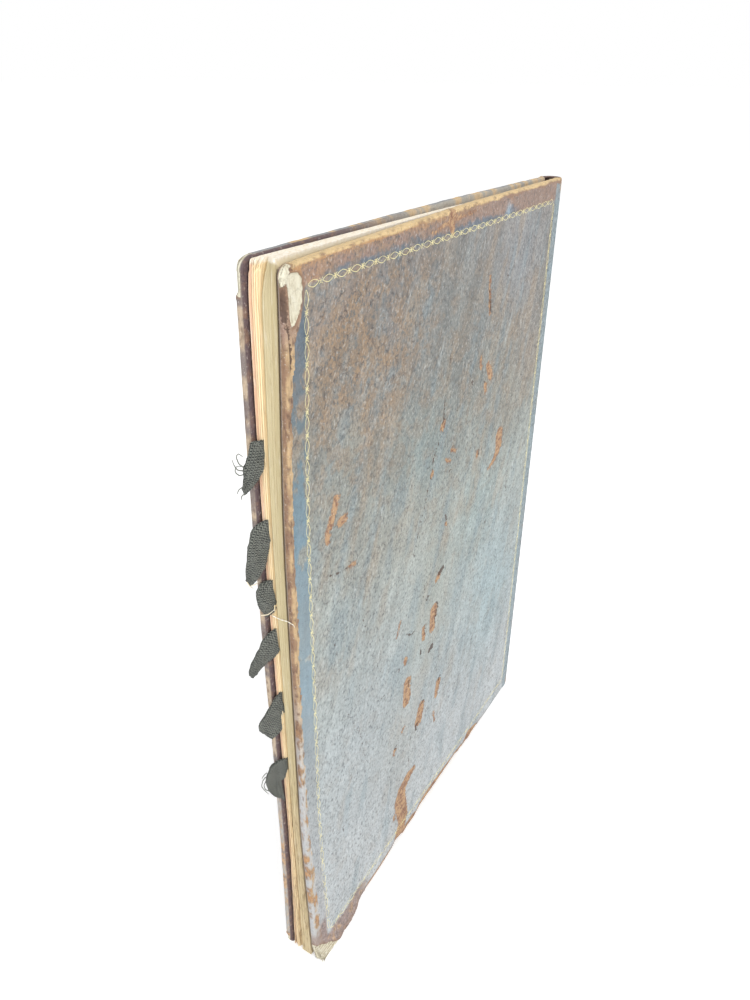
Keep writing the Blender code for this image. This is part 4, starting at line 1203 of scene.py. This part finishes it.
def ribbon_tab(name, number, skin, white):
    """A ribbon folded double: it goes out of its leaf to the tip on one side and comes back on the other.

    s runs from -1 at the root over 0 at the tip to 1 at the root again, and w across the ribbon. The
    two long sides are given curves in an upright plane that sways to the front. Across that plane
    the two layers stand apart by a gap that closes at the tip, and creases push both to and fro.
    """
    share, left_side, right_side = tab_shapes[name]
    height = share * cover_height
    up = (height - block_tail) / (block_head - block_tail)
    root = block_surface(np.array(1.0), np.array(up), np.array(cleft_place + tab_leaf))
    parts = ((-1, -0.78, 4), (-0.78, -0.03, 34), (-0.03, 0, 3))
    s = np.concatenate([np.linspace(low, high, count)[:-1] for low, high, count in parts])
    s = np.concatenate([s, [0.0], -s[::-1]])[:, None]
    w = np.linspace(0.0, 1.0, 21)[None, :]
    out = 1.0 - np.abs(s)
    inside = np.clip(1.0 - out / 0.22, 0.0, 1.0)
    t = np.clip((out - 0.22) / 0.78, 0.0, 1.0)
    left, right = along_side(left_side, t), along_side(right_side, t)
    place = (left + (right - left) * w[..., None]) * mm
    at_sides = (np.abs(w - 0.5) > 0.44) * (t > 0)
    ragged = 0.00030 * cloud(t * 14 + 5 * number, np.round(w) * 7 + s, 250 + number, 3) * at_sides
    reach, rise = place[..., 0] + ragged, place[..., 1] + ragged * 0.6
    reach = reach * (1 - inside) - inside * tab_root_depth
    sway = math.radians(tab_sway)
    belly = 0.0011 * np.sin(np.pi * np.clip(t, 0, 1)) * np.sin(np.pi * w * 0.9 + 0.4 * number)
    crease = 0.00075 * smooth(t * 4) * cloud(w * 2.2 + number * 3, t * 3.0 + 0.2 * w, 240 + number, 3)
    fine_crease = 0.00028 * smooth(t * 4) * cloud(w * 7 + t * 5, t * 9 - w * 3, 270 + number, 2)
    gap = ribbon_gap * (1 + 1.2 * np.sin(np.pi * t) * (1 - w)) * np.sqrt(np.clip((1 - t) * 14, 0, 1))
    across = np.sign(s) * gap + (belly + crease + fine_crease) * (1 - inside)
    out_x, out_y = math.cos(sway), -math.sin(sway)
    turned = smooth(t * 5)
    x = root[0] + reach * np.where(inside > 0, 1.0, out_x) + across * math.sin(sway) * turned
    y = root[1] + np.where(inside > 0, 0.0, reach * out_y) + across * (1 - turned + turned * math.cos(sway))
    z = height + rise
    middle = np.stack([x, y, z], -1)
    normal = np.cross(np.gradient(middle, axis=0), np.gradient(middle, axis=1))
    normal /= np.maximum(np.linalg.norm(normal, axis=-1, keepdims=True), 1e-9)
    grids = [middle + face * ribbon_cloth * normal for face in (1.0, -1.0)]
    rows, columns = x.shape
    count = rows * columns
    border = border_of(rows, columns)
    faces = [grid_faces(rows, columns), grid_faces(rows, columns, count)]
    faces.append(ring_faces(np.stack([border, border + count])))
    centre = middle[:, columns // 2]
    run = np.concatenate([[0.0], np.cumsum(np.linalg.norm(np.diff(centre, axis=0), axis=1))])
    widths = np.linalg.norm(middle[:, -1] - middle[:, 0], axis=1)
    width = max(float(widths.max()), 0.010)
    uv = [np.broadcast_to(run[:, None], x.shape), np.broadcast_to(w * width, x.shape)]
    uv = np.stack(uv, -1).reshape(-1, 2)
    points = np.concatenate([grid.reshape(-1, 3) for grid in grids])
    piece = make_piece(name.replace("index", "ribbon"), points, faces, skin, mapping=np.concatenate([uv, uv]))
    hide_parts(name)
    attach(piece, "block")
    fringe = []
    if number in fringes:
        thread = white if number in white_threads else skin
        fringe = [thread_ends(f"ribbon_threads_{number}", fringes[number], root, height, thread)]
    return piece


# Frayed threads of the ribbons: places as (out, up, aside) in mm from the tab's root
fringes = {
    1: [
        [(6.0, -4.0, 0.2), (8.0, -2.2, 0.6), (8.8, 0.6, 0.4), (8.0, 1.6, 0.1), (6.6, 0.4, 0.2)],
        [(6.4, -5.0, 0.0), (8.6, -4.4, 0.5), (9.6, -2.6, 0.6), (10.2, -0.4, 0.2)],
        [(6.2, -6.0, 0.3), (8.2, -6.6, 0.3), (9.5, -5.0, 0.6), (9.2, -3.0, 0.5), (7.4, -3.2, 0.3)],
        [(7.0, -10.8, 0.0), (8.8, -11.8, 0.3), (9.4, -13.4, 0.2)],
        [(6.6, -13.2, 0.1), (8.2, -14.6, 0.2), (8.0, -16.0, 0.1)],
    ],
    2: [
        [(8.6, -18.6, 0.1), (7.6, -20.6, 0.4), (6.4, -21.8, 0.2)],
        [(7.2, -20.4, 0.2), (5.6, -20.0, 0.5), (4.4, -18.8, 0.4)],
    ],
    3: [
        [(4.4, -7.2, 0.8), (1.8, -6.9, 1.0), (-0.6, -5.0, 0.8)],
        [(0.6, -7.4, 0.8), (-2.5, -7.8, 3.3), (-5.1, -7.2, 5.6), (-7.3, -7.5, 7.8), (-7.6, -7.4, 9.6)],
    ],
    6: [
        [(8.4, -1.0, 0.3), (9.6, -3.4, 0.6), (9.0, -6.2, 0.6), (7.4, -7.6, 0.3), (5.6, -9.6, 0.2)],
        [(8.6, 1.0, 0.2), (10.0, -1.2, 0.3), (10.6, -4.2, 0.4), (9.4, -6.8, 0.4), (7.8, -9.4, 0.3)],
        [(8.0, 3.4, 0.2), (9.4, 1.8, 0.2), (10.2, 0.0, 0.1)],
    ],
}
white_threads = (2, 3)


def thread_ends(name, paths, root, height, skin):
    """Loose threads as one piece: each is a smooth curve through its places with a round section."""
    sway = math.radians(tab_sway)
    blocks, faces, count = [], [], 0
    turn = np.linspace(0, 2 * np.pi, 7)[:-1]
    for number, path in enumerate(paths):
        path = np.array(path, float) * mm
        knots = np.linspace(0, 1, len(path))
        t = np.linspace(0, 1, 8 * (len(path) - 1) + 1)
        local = np.stack([np.interp(t, knots, path[:, k]) for k in range(3)], -1)
        for _ in range(5):
            local[1:-1] = (local[:-2] + 2 * local[1:-1] + local[2:]) / 4
        out, up, aside = local.T
        x = root[0] + out * math.cos(sway) + aside * math.sin(sway)
        y = root[1] - out * math.sin(sway) + aside * math.cos(sway)
        line = np.stack([x, y, height + up], -1)
        tangent = np.gradient(line, axis=0)
        tangent /= np.linalg.norm(tangent, axis=1, keepdims=True)
        first = np.cross(tangent, [0.3, 0.9, 0.1])
        first /= np.linalg.norm(first, axis=1, keepdims=True)
        second = np.cross(tangent, first)
        radius = 0.00022 * (1.0 - 0.5 * t**3)
        ring = np.cos(turn)[None, :, None] * first[:, None] + np.sin(turn)[None, :, None] * second[:, None]
        points = line[:, None] + ring * radius[:, None, None]
        rings = np.arange(len(t) * 6).reshape(len(t), 6) + count
        blocks.append(points.reshape(-1, 3))
        faces += [ring_faces(rings), [rings[0].tolist()], [rings[-1].tolist()]]
        count += rings.size
    piece = make_piece(name, np.concatenate(blocks), faces, skin)
    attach(piece, "block")
    return piece


class Paint:
    """A material being made: each call adds one node and gives back what comes out of it."""

    def __init__(self, name):
        self.skin = bpy.data.materials.new(name)
        self.skin.use_nodes = True
        self.tree = self.skin.node_tree
        self.shader = self.tree.nodes["Principled BSDF"]
        self.place = self.node("ShaderNodeTexCoord").outputs["Object"]

    def node(self, kind, inputs=None, **settings):
        """Adds a node, sets its options and fills or links its inputs."""
        made = self.tree.nodes.new(kind)
        for label, value in settings.items():
            setattr(made, label, value)
        for label, value in (inputs or {}).items():
            self.feed(made.inputs[label], value)
        return made

    def feed(self, socket, value):
        """Links a socket to another node's output, or writes a plain value on it."""
        if isinstance(value, bpy.types.NodeSocket):
            self.tree.links.new(value, socket)
        elif hasattr(value, "__len__") and len(value) == 3 and socket.type == "RGBA":
            socket.default_value = (*[float(v) for v in value], 1.0)
        else:
            socket.default_value = value

    def mapped(self, turn=(0, 0, 0), size=(1, 1, 1), start=None):
        """Coordinates for a pattern that is stretched by these sizes and then turned."""
        inputs = {"Vector": start or self.place, "Rotation": turn, "Scale": size}
        return self.node("ShaderNodeMapping", inputs, vector_type="TEXTURE").outputs["Vector"]

    def noise(self, scale, detail=3.0, rough=0.55, twist=0.0, at=None):
        """Soft noise from 0 to 1."""
        inputs = {"Vector": at or self.place, "Scale": scale, "Detail": detail}
        inputs.update({"Roughness": rough, "Distortion": twist})
        return self.node("ShaderNodeTexNoise", inputs).outputs["Fac"]

    def cells(self, scale, at=None, feature="F1"):
        """Distance from the nearest of many scattered points."""
        inputs = {"Vector": at or self.place, "Scale": scale, "Randomness": 1.0}
        return self.node("ShaderNodeTexVoronoi", inputs, feature=feature).outputs["Distance"]

    def bands(self, scale, waver, detail=2.0, at=None, **settings):
        """Wavering bands from 0 to 1."""
        inputs = {"Vector": at or self.place, "Scale": scale, "Distortion": waver, "Detail": detail}
        return self.node("ShaderNodeTexWave", inputs, **settings).outputs["Fac"]

    def number(self, name):
        """A value kept on the piece's points."""
        return self.node("ShaderNodeAttribute", attribute_name=name).outputs["Fac"]

    def work(self, operation, first, second=0.0, third=0.0, clamp=False):
        """Arithmetic on two or three values."""
        made = self.node("ShaderNodeMath", operation=operation, use_clamp=clamp)
        for socket, value in zip(made.inputs, (first, second, third)):
            self.feed(socket, value)
        return made.outputs["Value"]

    def times(self, first, second):
        """The product of two values."""
        return self.work("MULTIPLY", first, second)

    def scaled(self, value, factor, added):
        """A value times a factor, plus another value."""
        return self.work("MULTIPLY_ADD", value, factor, added)

    def ease(self, value, low, high, to_low=0.0, to_high=1.0):
        """A smooth change from to_low to to_high as the value goes from low to high."""
        inputs = {"Value": value, "From Min": low, "From Max": high, "To Min": to_low, "To Max": to_high}
        return self.node("ShaderNodeMapRange", inputs, interpolation_type="SMOOTHSTEP").outputs["Result"]

    def mix(self, first, second, share, how="MIX"):
        """One colour laid over another by a share."""
        made = self.node("ShaderNodeMix", data_type="RGBA", blend_type=how)
        self.feed(made.inputs["Factor"], share)
        for label, value in (("A", first), ("B", second)):
            socket = next(s for s in made.inputs if s.name == label and s.type == "RGBA")
            self.feed(socket, tint(value) if isinstance(value, str) else value)
        return next(s for s in made.outputs if s.type == "RGBA")

    def bump(self, height, distance, strength=1.0, before=None):
        """Bumps from a height, on top of earlier ones."""
        inputs = {"Height": height, "Distance": distance, "Strength": strength}
        if before is not None:
            inputs["Normal"] = before
        return self.node("ShaderNodeBump", inputs).outputs["Normal"]

    def finish(self, colour, roughness, normal=None, specular=0.5, sheen=0.0, metallic=0.0):
        """Fills the shader: colour, roughness and bumps by link, everything else as a plain value."""
        self.feed(self.shader.inputs["Base Color"], tint(colour) if isinstance(colour, str) else colour)
        self.feed(self.shader.inputs["Roughness"], roughness)
        if normal is not None:
            self.feed(self.shader.inputs["Normal"], normal)
        self.shader.inputs["Specular IOR Level"].default_value = specular
        self.shader.inputs["Sheen Weight"].default_value = sheen
        self.shader.inputs["Metallic"].default_value = metallic
        return self.skin


def cover_skin(name):
    """Faded, scuffed blue leather with a fine grain, rubbed rims and bare, torn places."""
    p = Paint(name)
    base = p.node("ShaderNodeAttribute", attribute_name="tint").outputs["Color"]
    rim = p.node("ShaderNodeAttribute", attribute_name="rim").outputs["Color"]
    slanting = p.mapped(streak_turn, (1.0, 1.0, 6.0))
    short = p.mapped(streak_turn, (1.0, 1.0, 1.45))
    mottle = p.number("mottle")
    blotches = p.noise(300, 6, 0.66, 0.5)
    flecks = p.noise(520, 5, 0.62, 0.3)
    streaks = p.noise(240, 6, 0.66, 0.25, slanting)
    fine_streaks = p.noise(760, 4, 0.62, 0.0, slanting)
    hatch = p.noise(950, 4, 0.65, 0.3, short)
    creases = p.cells(430, at=short, feature="DISTANCE_TO_EDGE")
    pores = p.noise(1500, 3, 0.6)
    patchy = p.noise(105, 6, 0.62, 0.4)
    loud = p.work("SUBTRACT", 1.0, p.times(p.number("calm"), 0.72))
    brown_share = p.times(p.ease(p.scaled(mottle, 0.10, patchy), 0.50, 0.68), mottle)
    colour = p.mix(base, "mottled brown", p.times(brown_share, p.times(loud, 0.75)))
    dark_share = p.times(p.ease(flecks, 0.50, 0.66), p.scaled(mottle, 0.62, 0.12))
    colour = p.mix(colour, "slate fleck", p.times(dark_share, p.times(loud, 0.85)))
    stained = p.times(p.ease(blotches, 0.55, 0.70, 0.0, 0.75), p.times(mottle, loud))
    colour = p.mix(colour, (0.08, 0.07, 0.07), stained)
    for tone, pattern, low, high, most in (
        ((0.32, 0.27, 0.22), streaks, 0.58, 0.76, 0.38),
        ((0.80, 0.86, 0.88), streaks, 0.42, 0.24, 0.22),
        ((0.12, 0.12, 0.13), fine_streaks, 0.58, 0.74, 0.28),
        ((0.10, 0.11, 0.12), hatch, 0.50, 0.68, 0.66),
        ((0.90, 0.91, 0.91), hatch, 0.46, 0.28, 0.30),
    ):
        colour = p.mix(colour, tone, p.times(p.ease(pattern, low, high, 0.0, most), loud))
    worn_creases = p.times(p.ease(creases, 0.055, 0.0), p.ease(blotches, 0.42, 0.60))
    colour = p.mix(colour, (0.14, 0.11, 0.10), p.times(p.times(worn_creases, 0.45), loud))
    colour = p.mix(colour, (0.97, 0.97, 0.96), p.times(p.ease(pores, 0.36, 0.20, 0.0, 0.20), loud))
    dust = p.ease(p.cells(230), 0.065, 0.030, 0.0, 0.8)
    colour = p.mix(colour, (0.95, 0.95, 0.93), p.times(dust, p.ease(patchy, 0.58, 0.66)))
    edge_noise = p.noise(560, 5, 0.65)
    wear = p.ease(p.work("ADD", p.number("wear"), p.ease(edge_noise, 0.3, 0.7, -0.3, 0.3)), 0.36, 0.62)
    worn = p.mix(rim, (0.12, 0.08, 0.06), p.ease(hatch, 0.52, 0.74, 0.0, 0.42))
    worn = p.mix(worn, (0.96, 0.91, 0.82), p.ease(pores, 0.42, 0.24, 0.0, 0.40))
    worn = p.mix(worn, "dark edge", p.ease(p.noise(420, 5, 0.7), 0.60, 0.76, 0.0, 0.30))
    colour = p.mix(colour, worn, wear)
    ragged = p.ease(p.noise(700, 4, 0.65), 0.2, 0.8, -1.0, 1.0)
    raw = p.ease(p.work("ADD", p.number("raw"), ragged), -0.05, 0.25)
    raw_colour = p.mix("raw leather", "raw leather dark", p.ease(p.noise(460, 5, 0.7), 0.44, 0.60))
    raw_colour = p.mix(raw_colour, (0.80, 0.68, 0.50), p.ease(hatch, 0.44, 0.28, 0.0, 0.4))
    raw_rim = p.ease(p.work("ADD", p.number("raw"), ragged), -0.60, 0.0, 0.0, 0.6)
    colour = p.mix(colour, "brown edge", raw_rim)
    colour = p.mix(colour, raw_colour, raw)
    cracked = p.ease(p.scaled(ragged, 0.6, p.number("crack")), -0.25, 0.15)
    colour = p.mix(colour, "crack", p.times(cracked, 0.85))
    bare = p.ease(p.number("bare"), -0.05, 0.15)
    lip = p.ease(p.number("bare"), -1.3, -0.1, 0.0, 0.7)
    fibres = p.noise(460, 6, 0.7, 0.5, p.mapped((0.0, 0.1, 0.0), (1.0, 1.0, 3.5)))
    bare_colour = p.mix("pasteboard", "pasteboard shade", p.ease(fibres, 0.46, 0.68, 0.0, 0.9))
    bare_colour = p.mix(bare_colour, (0.98, 0.97, 0.90), p.ease(fibres, 0.42, 0.26, 0.0, 0.8))
    colour = p.mix(colour, "brown edge", lip)
    colour = p.mix(colour, bare_colour, bare)
    # the turn-in colour on the inner face is dark partly as painted shade
    turned_in = p.mix("turn-in", "brown edge", p.ease(p.noise(160, 6, 0.7), 0.48, 0.66, 0.0, 0.6))
    turned_in = p.mix(turned_in, (0.62, 0.56, 0.50), p.ease(hatch, 0.44, 0.30, 0.0, 0.4))
    colour = p.mix(colour, turned_in, p.number("inner"))
    height = p.scaled(p.ease(hatch, 0.3, 0.7), -0.6, p.times(pores, 0.35))
    height = p.scaled(fine_streaks, -0.4, height)
    height = p.scaled(worn_creases, -0.6, height)
    normal = p.bump(height, 0.00032, 0.9)
    normal = p.bump(p.scaled(bare, -1.0, p.times(fibres, bare)), 0.0005, 0.9, normal)
    rough = p.work("ADD", p.ease(pores, 0.3, 0.7, 0.50, 0.64), p.times(bare, 0.3), clamp=True)
    return p.finish(colour, rough, normal, specular=0.3)


def spine_skin():
    """Blue leather of the back, darker and cracked across, rubbed brown at the caps."""
    p = Paint("back leather")
    crossing = p.mapped(size=(1.0, 1.0, 0.33))
    cracks = p.noise(420, 6, 0.7, 0.3, crossing)
    blotches = p.noise(150, 6, 0.65)
    colour = p.mix("joint slate", "slate fleck", p.ease(blotches, 0.40, 0.62))
    colour = p.mix(colour, "mottled brown", p.ease(p.noise(240, 6, 0.7), 0.50, 0.66, 0.0, 0.65))
    edge_noise = p.ease(p.noise(380, 5, 0.6), 0.3, 0.7, -0.3, 0.3)
    wear = p.ease(p.work("ADD", p.number("wear"), edge_noise), 0.40, 0.60)
    worn = p.mix("brown edge", "golden edge", p.ease(p.noise(260, 5, 0.6), 0.42, 0.62))
    colour = p.mix(colour, worn, wear)
    colour = p.mix(colour, "crack", p.ease(cracks, 0.60, 0.72, 0.0, 0.7))
    colour = p.mix(colour, "turn-in", p.times(p.number("inner"), 0.8))
    normal = p.bump(p.scaled(cracks, -0.7, p.cells(1000)), 0.0003, 0.6)
    return p.finish(colour, p.ease(blotches, 0.3, 0.7, 0.45, 0.62), normal, specular=0.35)


def leaf_skin():
    """Old paper: an even khaki rear bundle, cream and pink front leaves, painted groove shade and browned
    margins.
    """
    p = Paint("leaves")
    place = p.number("place")
    tone = p.number("tone")
    low = p.number("low")
    depth_of_tone = p.scaled(place, 0.9, p.times(tone, 0.6))
    khaki = p.mix("khaki leaf", "khaki leaf pale", p.ease(depth_of_tone, 0.35, 0.95))
    front = p.mix("cream leaf", "pink leaf", p.ease(p.scaled(tone, 0.16, place), 0.86, 1.02))
    colour = p.mix(khaki, front, p.ease(place, cleft_place - 0.01, cleft_place + 0.015))
    colour = p.mix(colour, (0.84, 0.70, 0.48), p.times(low, 0.45))
    along_edge = p.noise(150, 6, 0.7, 0.0, p.mapped(size=(1.0, 0.18, 2.5)))
    lines = p.noise(900, 4, 0.65, 0.2, p.mapped(size=(1.0, 0.5, 9.0)))
    strength = p.scaled(low, 0.55, 0.22)
    colour = p.mix(colour, "leaf groove", p.times(p.ease(along_edge, 0.52, 0.70), strength))
    colour = p.mix(colour, "leaf groove", p.times(p.ease(lines, 0.54, 0.66), strength))
    colour = p.mix(colour, (0.99, 0.95, 0.86), p.ease(along_edge, 0.46, 0.28, 0.0, 0.5))
    # painted shade in the grooves between leaves
    colour = p.mix(colour, "leaf groove", p.times(p.number("groove"), 0.40))
    page = p.mix("cream leaf", "khaki leaf pale", p.ease(p.noise(14, 6, 0.6), 0.35, 0.75, 0.15, 0.75))
    foxing = p.ease(p.noise(95, 5, 0.7, 0.3), 0.62, 0.74, 0.0, 0.5)
    page = p.mix(page, "pasteboard shade", foxing)
    cut_head = p.mix((0.86, 0.77, 0.62), (0.97, 0.93, 0.84), p.ease(p.noise(700, 4, 0.7), 0.35, 0.6))
    # painted shade in the grooves on the cut head as well
    cut_head = p.mix(cut_head, "leaf groove", p.times(p.number("groove"), 0.25))
    colour = p.mix(colour, cut_head, p.number("head"))
    colour = p.mix(colour, page, p.number("page"))
    normal = p.bump(p.scaled(lines, 0.6, p.noise(1500, 4, 0.6)), 0.00014, 0.6)
    return p.finish(colour, 0.82, normal, specular=0.2)


def gold_skin():
    """Gold leaf, bright and a little pale, rubbed through in places."""
    p = Paint("gold leaf")
    rubbed = p.ease(p.noise(420, 5, 0.7), 0.50, 0.66)
    colour = p.mix("gold", "gold rubbed", rubbed)
    return p.finish(colour, p.ease(p.noise(900, 3, 0.6), 0.3, 0.7, 0.30, 0.48), metallic=0.35, specular=0.6)


def ribbon_skin():
    """Ribbed silk gone grey-olive: short ribs in a zigzag, each one rubbed pale on its crest."""
    p = Paint("ribbon")
    uv = p.node("ShaderNodeUVMap", uv_map="UVMap").outputs["UV"]
    split = p.node("ShaderNodeSeparateXYZ", {"Vector": uv})
    along, across = split.outputs["X"], split.outputs["Y"]
    wander = p.noise(420, 3, 0.6)
    zigzag = p.work("PINGPONG", across, rib_zigzag)
    slope = p.scaled(zigzag, 0.9, along)
    phase = p.scaled(wander, 1.6, p.times(slope, 2 * math.pi / rib_pitch))
    rib = p.ease(p.work("SINE", phase), -0.9, 0.9)
    thread = p.ease(p.work("SINE", p.times(across, 2 * math.pi / silk_thread_pitch)), -1.0, 1.0)
    weave = p.scaled(thread, 0.35, rib)
    worn = p.noise(300, 5, 0.65)
    pebbles = p.ease(p.noise(1150, 2, 0.6), 0.35, 0.65)
    weave = p.scaled(pebbles, 0.55, weave)
    light = p.ease(p.scaled(worn, 1.3, weave), 1.10, 1.95)
    colour = p.mix("ribbon", "ribbon light", light)
    normal = p.bump(weave, 0.00026, 1.0)
    return p.finish(colour, 0.80, normal, sheen=0.15, specular=0.25)


def thread_skin(name, colour, second):
    """Twisted thread: slanting stripes of two shades."""
    p = Paint(name)
    twist = p.bands(300.0, 1.5, at=p.mapped((0.0, 0.0, 0.6)))
    shade = p.mix(colour, second, p.ease(twist, 0.3, 0.7))
    return p.finish(shade, 0.85, p.bump(twist, 0.00012, 0.7), specular=0.2)


def paper_skin(name, pale, brown):
    """Endpaper: laid paper with brown stains and fine fibres."""
    p = Paint(name)
    laid = p.bands(260.0, 0.6, bands_direction="Z")
    stain = p.noise(14, 6, 0.6, 0.4)
    colour = p.mix(pale, brown, p.ease(stain, 0.42, 0.70))
    colour = p.mix(colour, "leaf groove", p.ease(p.noise(80, 5, 0.7, 0.2), 0.64, 0.76, 0.0, 0.45))
    colour = p.mix(colour, (0.93, 0.90, 0.80), p.ease(laid, 0.4, 0.8, 0.0, 0.15))
    normal = p.bump(p.scaled(laid, 0.3, p.noise(1200, 4, 0.6)), 0.00008, 0.5)
    return p.finish(colour, 0.86, normal, specular=0.2)


def board_skin():
    """Grey-cream pasteboard made of many sheets, with fibres along its torn edges."""
    p = Paint("pasteboard")
    layers = p.bands(700.0, 3.0, 3.0, bands_direction="Y")
    fibres = p.noise(700, 6, 0.7, 0.6)
    shaded = p.ease(p.scaled(layers, 0.3, fibres), 0.52, 0.82)
    colour = p.mix("pasteboard", "pasteboard shade", shaded)
    colour = p.mix(colour, (0.97, 0.95, 0.88), p.ease(p.noise(1300, 4, 0.7), 0.48, 0.30, 0.0, 0.7))
    normal = p.bump(p.scaled(layers, 0.4, fibres), 0.0006, 1.0)
    return p.finish(colour, 0.92, normal, specular=0.15)


def torn_corner(skin):
    """The bare tail corner of the rear cover: sheets of pasteboard that have come apart and frayed.

    Each sheet is a grid between the torn leather and its own ragged end, t from the tear to the
    corner and s across it; it is a closed sliver, and the outer ones spread outwards as t squared.
    """
    blocks, faces, count = [], [], 0
    s = np.linspace(0, 1, 34)[None, :]
    t = np.linspace(0, 1, 14)[:, None]
    for sheet in range(board_sheets):
        share = sheet / (board_sheets - 1)
        ragged = 0.0034 * cloud(s * 7, sheet * 3.1 + 0 * s, 260, 3)
        ragged = ragged + 0.0024 * cloud(s * 24, sheet * 1.7 + 0 * s, 261, 3)
        end = 0.0024 + 0.0022 * chance(np.array(sheet), np.array(2), 262) + ragged
        bow = 0.0030 * (2 * s - 1) ** 2
        level = tear_reach + (end + bow - tear_reach) * t
        level = np.maximum(level, 0.0004)
        away = level * s * 1.02
        a = cover_width - 0.0004 - away * (0.97 + 0.03 * t)
        z = 0.0003 + level * (1 - s)
        spread = (0.0012 - 0.0024 * share) * t**2 * (0.5 + 0.9 * cloud(s * 5, sheet * 2.3 + 0 * s, 263, 2))
        depth = 0.0007 + 0.0020 * share - spread + 0.00045 * t * cloud(s * 12, t * 5 + sheet, 264, 3)
        thin = 0.00017 * (1 - 0.75 * t)
        for face in (-1, 1):
            blocks.append(cover_point("rear", a, z, depth + face * thin).reshape(-1, 3))
        border = border_of(*a.shape)
        faces += [grid_faces(*a.shape, count), grid_faces(*a.shape, count + a.size)]
        faces.append(ring_faces(np.stack([border + count, border + count + a.size])))
        count += 2 * a.size
    piece = make_piece("rear_board_torn_corner", np.concatenate(blocks), faces, skin)
    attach(piece, "rear_cover")
    return piece


def studio():
    """White floor and sky, two soft lamps and the camera at the photograph's viewing angle."""
    scene = bpy.context.scene
    scene.view_settings.view_transform = "Standard"
    bpy.ops.mesh.primitive_plane_add(size=60.0, location=(0.0, 0.0, -0.0002))
    floor = bpy.context.object
    floor.name = "floor"
    white = Paint("white floor")
    seen = white.node("ShaderNodeLightPath").outputs["Is Camera Ray"]
    floor.data.materials.append(white.finish(floor_tone, 1.0, specular=0.0))
    white.feed(white.shader.inputs["Emission Color"], (1, 1, 1))
    white.feed(white.shader.inputs["Emission Strength"], white.times(seen, floor_glow))

    world = bpy.data.worlds.new("white room")
    scene.world = world
    world.use_nodes = True
    tree = world.node_tree
    rays = tree.nodes.new("ShaderNodeLightPath").outputs
    seen = rays["Is Camera Ray"]
    for ray in ("Is Transmission Ray", "Is Glossy Ray"):
        either = tree.nodes.new("ShaderNodeMath")
        either.operation = "MAXIMUM"
        tree.links.new(seen, either.inputs[0])
        tree.links.new(rays[ray], either.inputs[1])
        seen = either.outputs[0]
    level = tree.nodes.new("ShaderNodeMapRange")
    level.inputs["To Min"].default_value = sky_level
    level.inputs["To Max"].default_value = 1.0
    tree.links.new(seen, level.inputs["Value"])
    sky = tree.nodes["Background"]
    sky.inputs["Color"].default_value = (1, 1, 1, 1)
    tree.links.new(level.outputs["Result"], sky.inputs["Strength"])

    for name, place, size, power in lamps:
        lamp = bpy.data.lights.new(name, "AREA")
        lamp.energy, lamp.size = power, size
        holder = bpy.data.objects.new(name, lamp)
        scene.collection.objects.link(holder)
        holder.location = place
        towards = -holder.location
        towards.z += lamp_aim
        holder.rotation_euler = towards.to_track_quat("-Z", "Y").to_euler()

    lens = bpy.data.cameras.new("camera")
    lens.lens, lens.sensor_width, lens.clip_start = lens_length, 36.0, 0.01
    camera = bpy.data.objects.new("camera", lens)
    scene.collection.objects.link(camera)
    camera.matrix_world = Matrix(camera_rows)
    scene.camera = camera


leather = cover_skin("cover leather")
gold = gold_skin()
pasteboard = board_skin()
endpaper = paper_skin("endpaper", "khaki leaf pale", "khaki leaf")
silk = ribbon_skin()
cream_thread = thread_skin("endband thread", "cream leaf", "joint slate")
hemp = thread_skin("sewing cord", "pasteboard shade", "leaf groove")
white_thread = thread_skin("white thread", "white thread", "frayed edge")

for side in ("rear", "front"):
    cover_shell(side, leather)
    gilt_chain(side, gold)
torn_corner(pasteboard)
text_block(leaf_skin())
spine_leather(spine_skin())
for number, name in enumerate(tab_shapes, start=1):
    ribbon_tab(name, number, silk, white_thread)
finishes = {
    "_board": pasteboard,
    "_pastedown": endpaper,
    "spine_lining": endpaper,
    "_endband": cream_thread,
    "sewing_cord": hemp,
}
for label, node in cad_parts.items():
    for part, skin in finishes.items():
        if part in label:
            node.data.materials.clear()
            node.data.materials.append(skin)

studio()
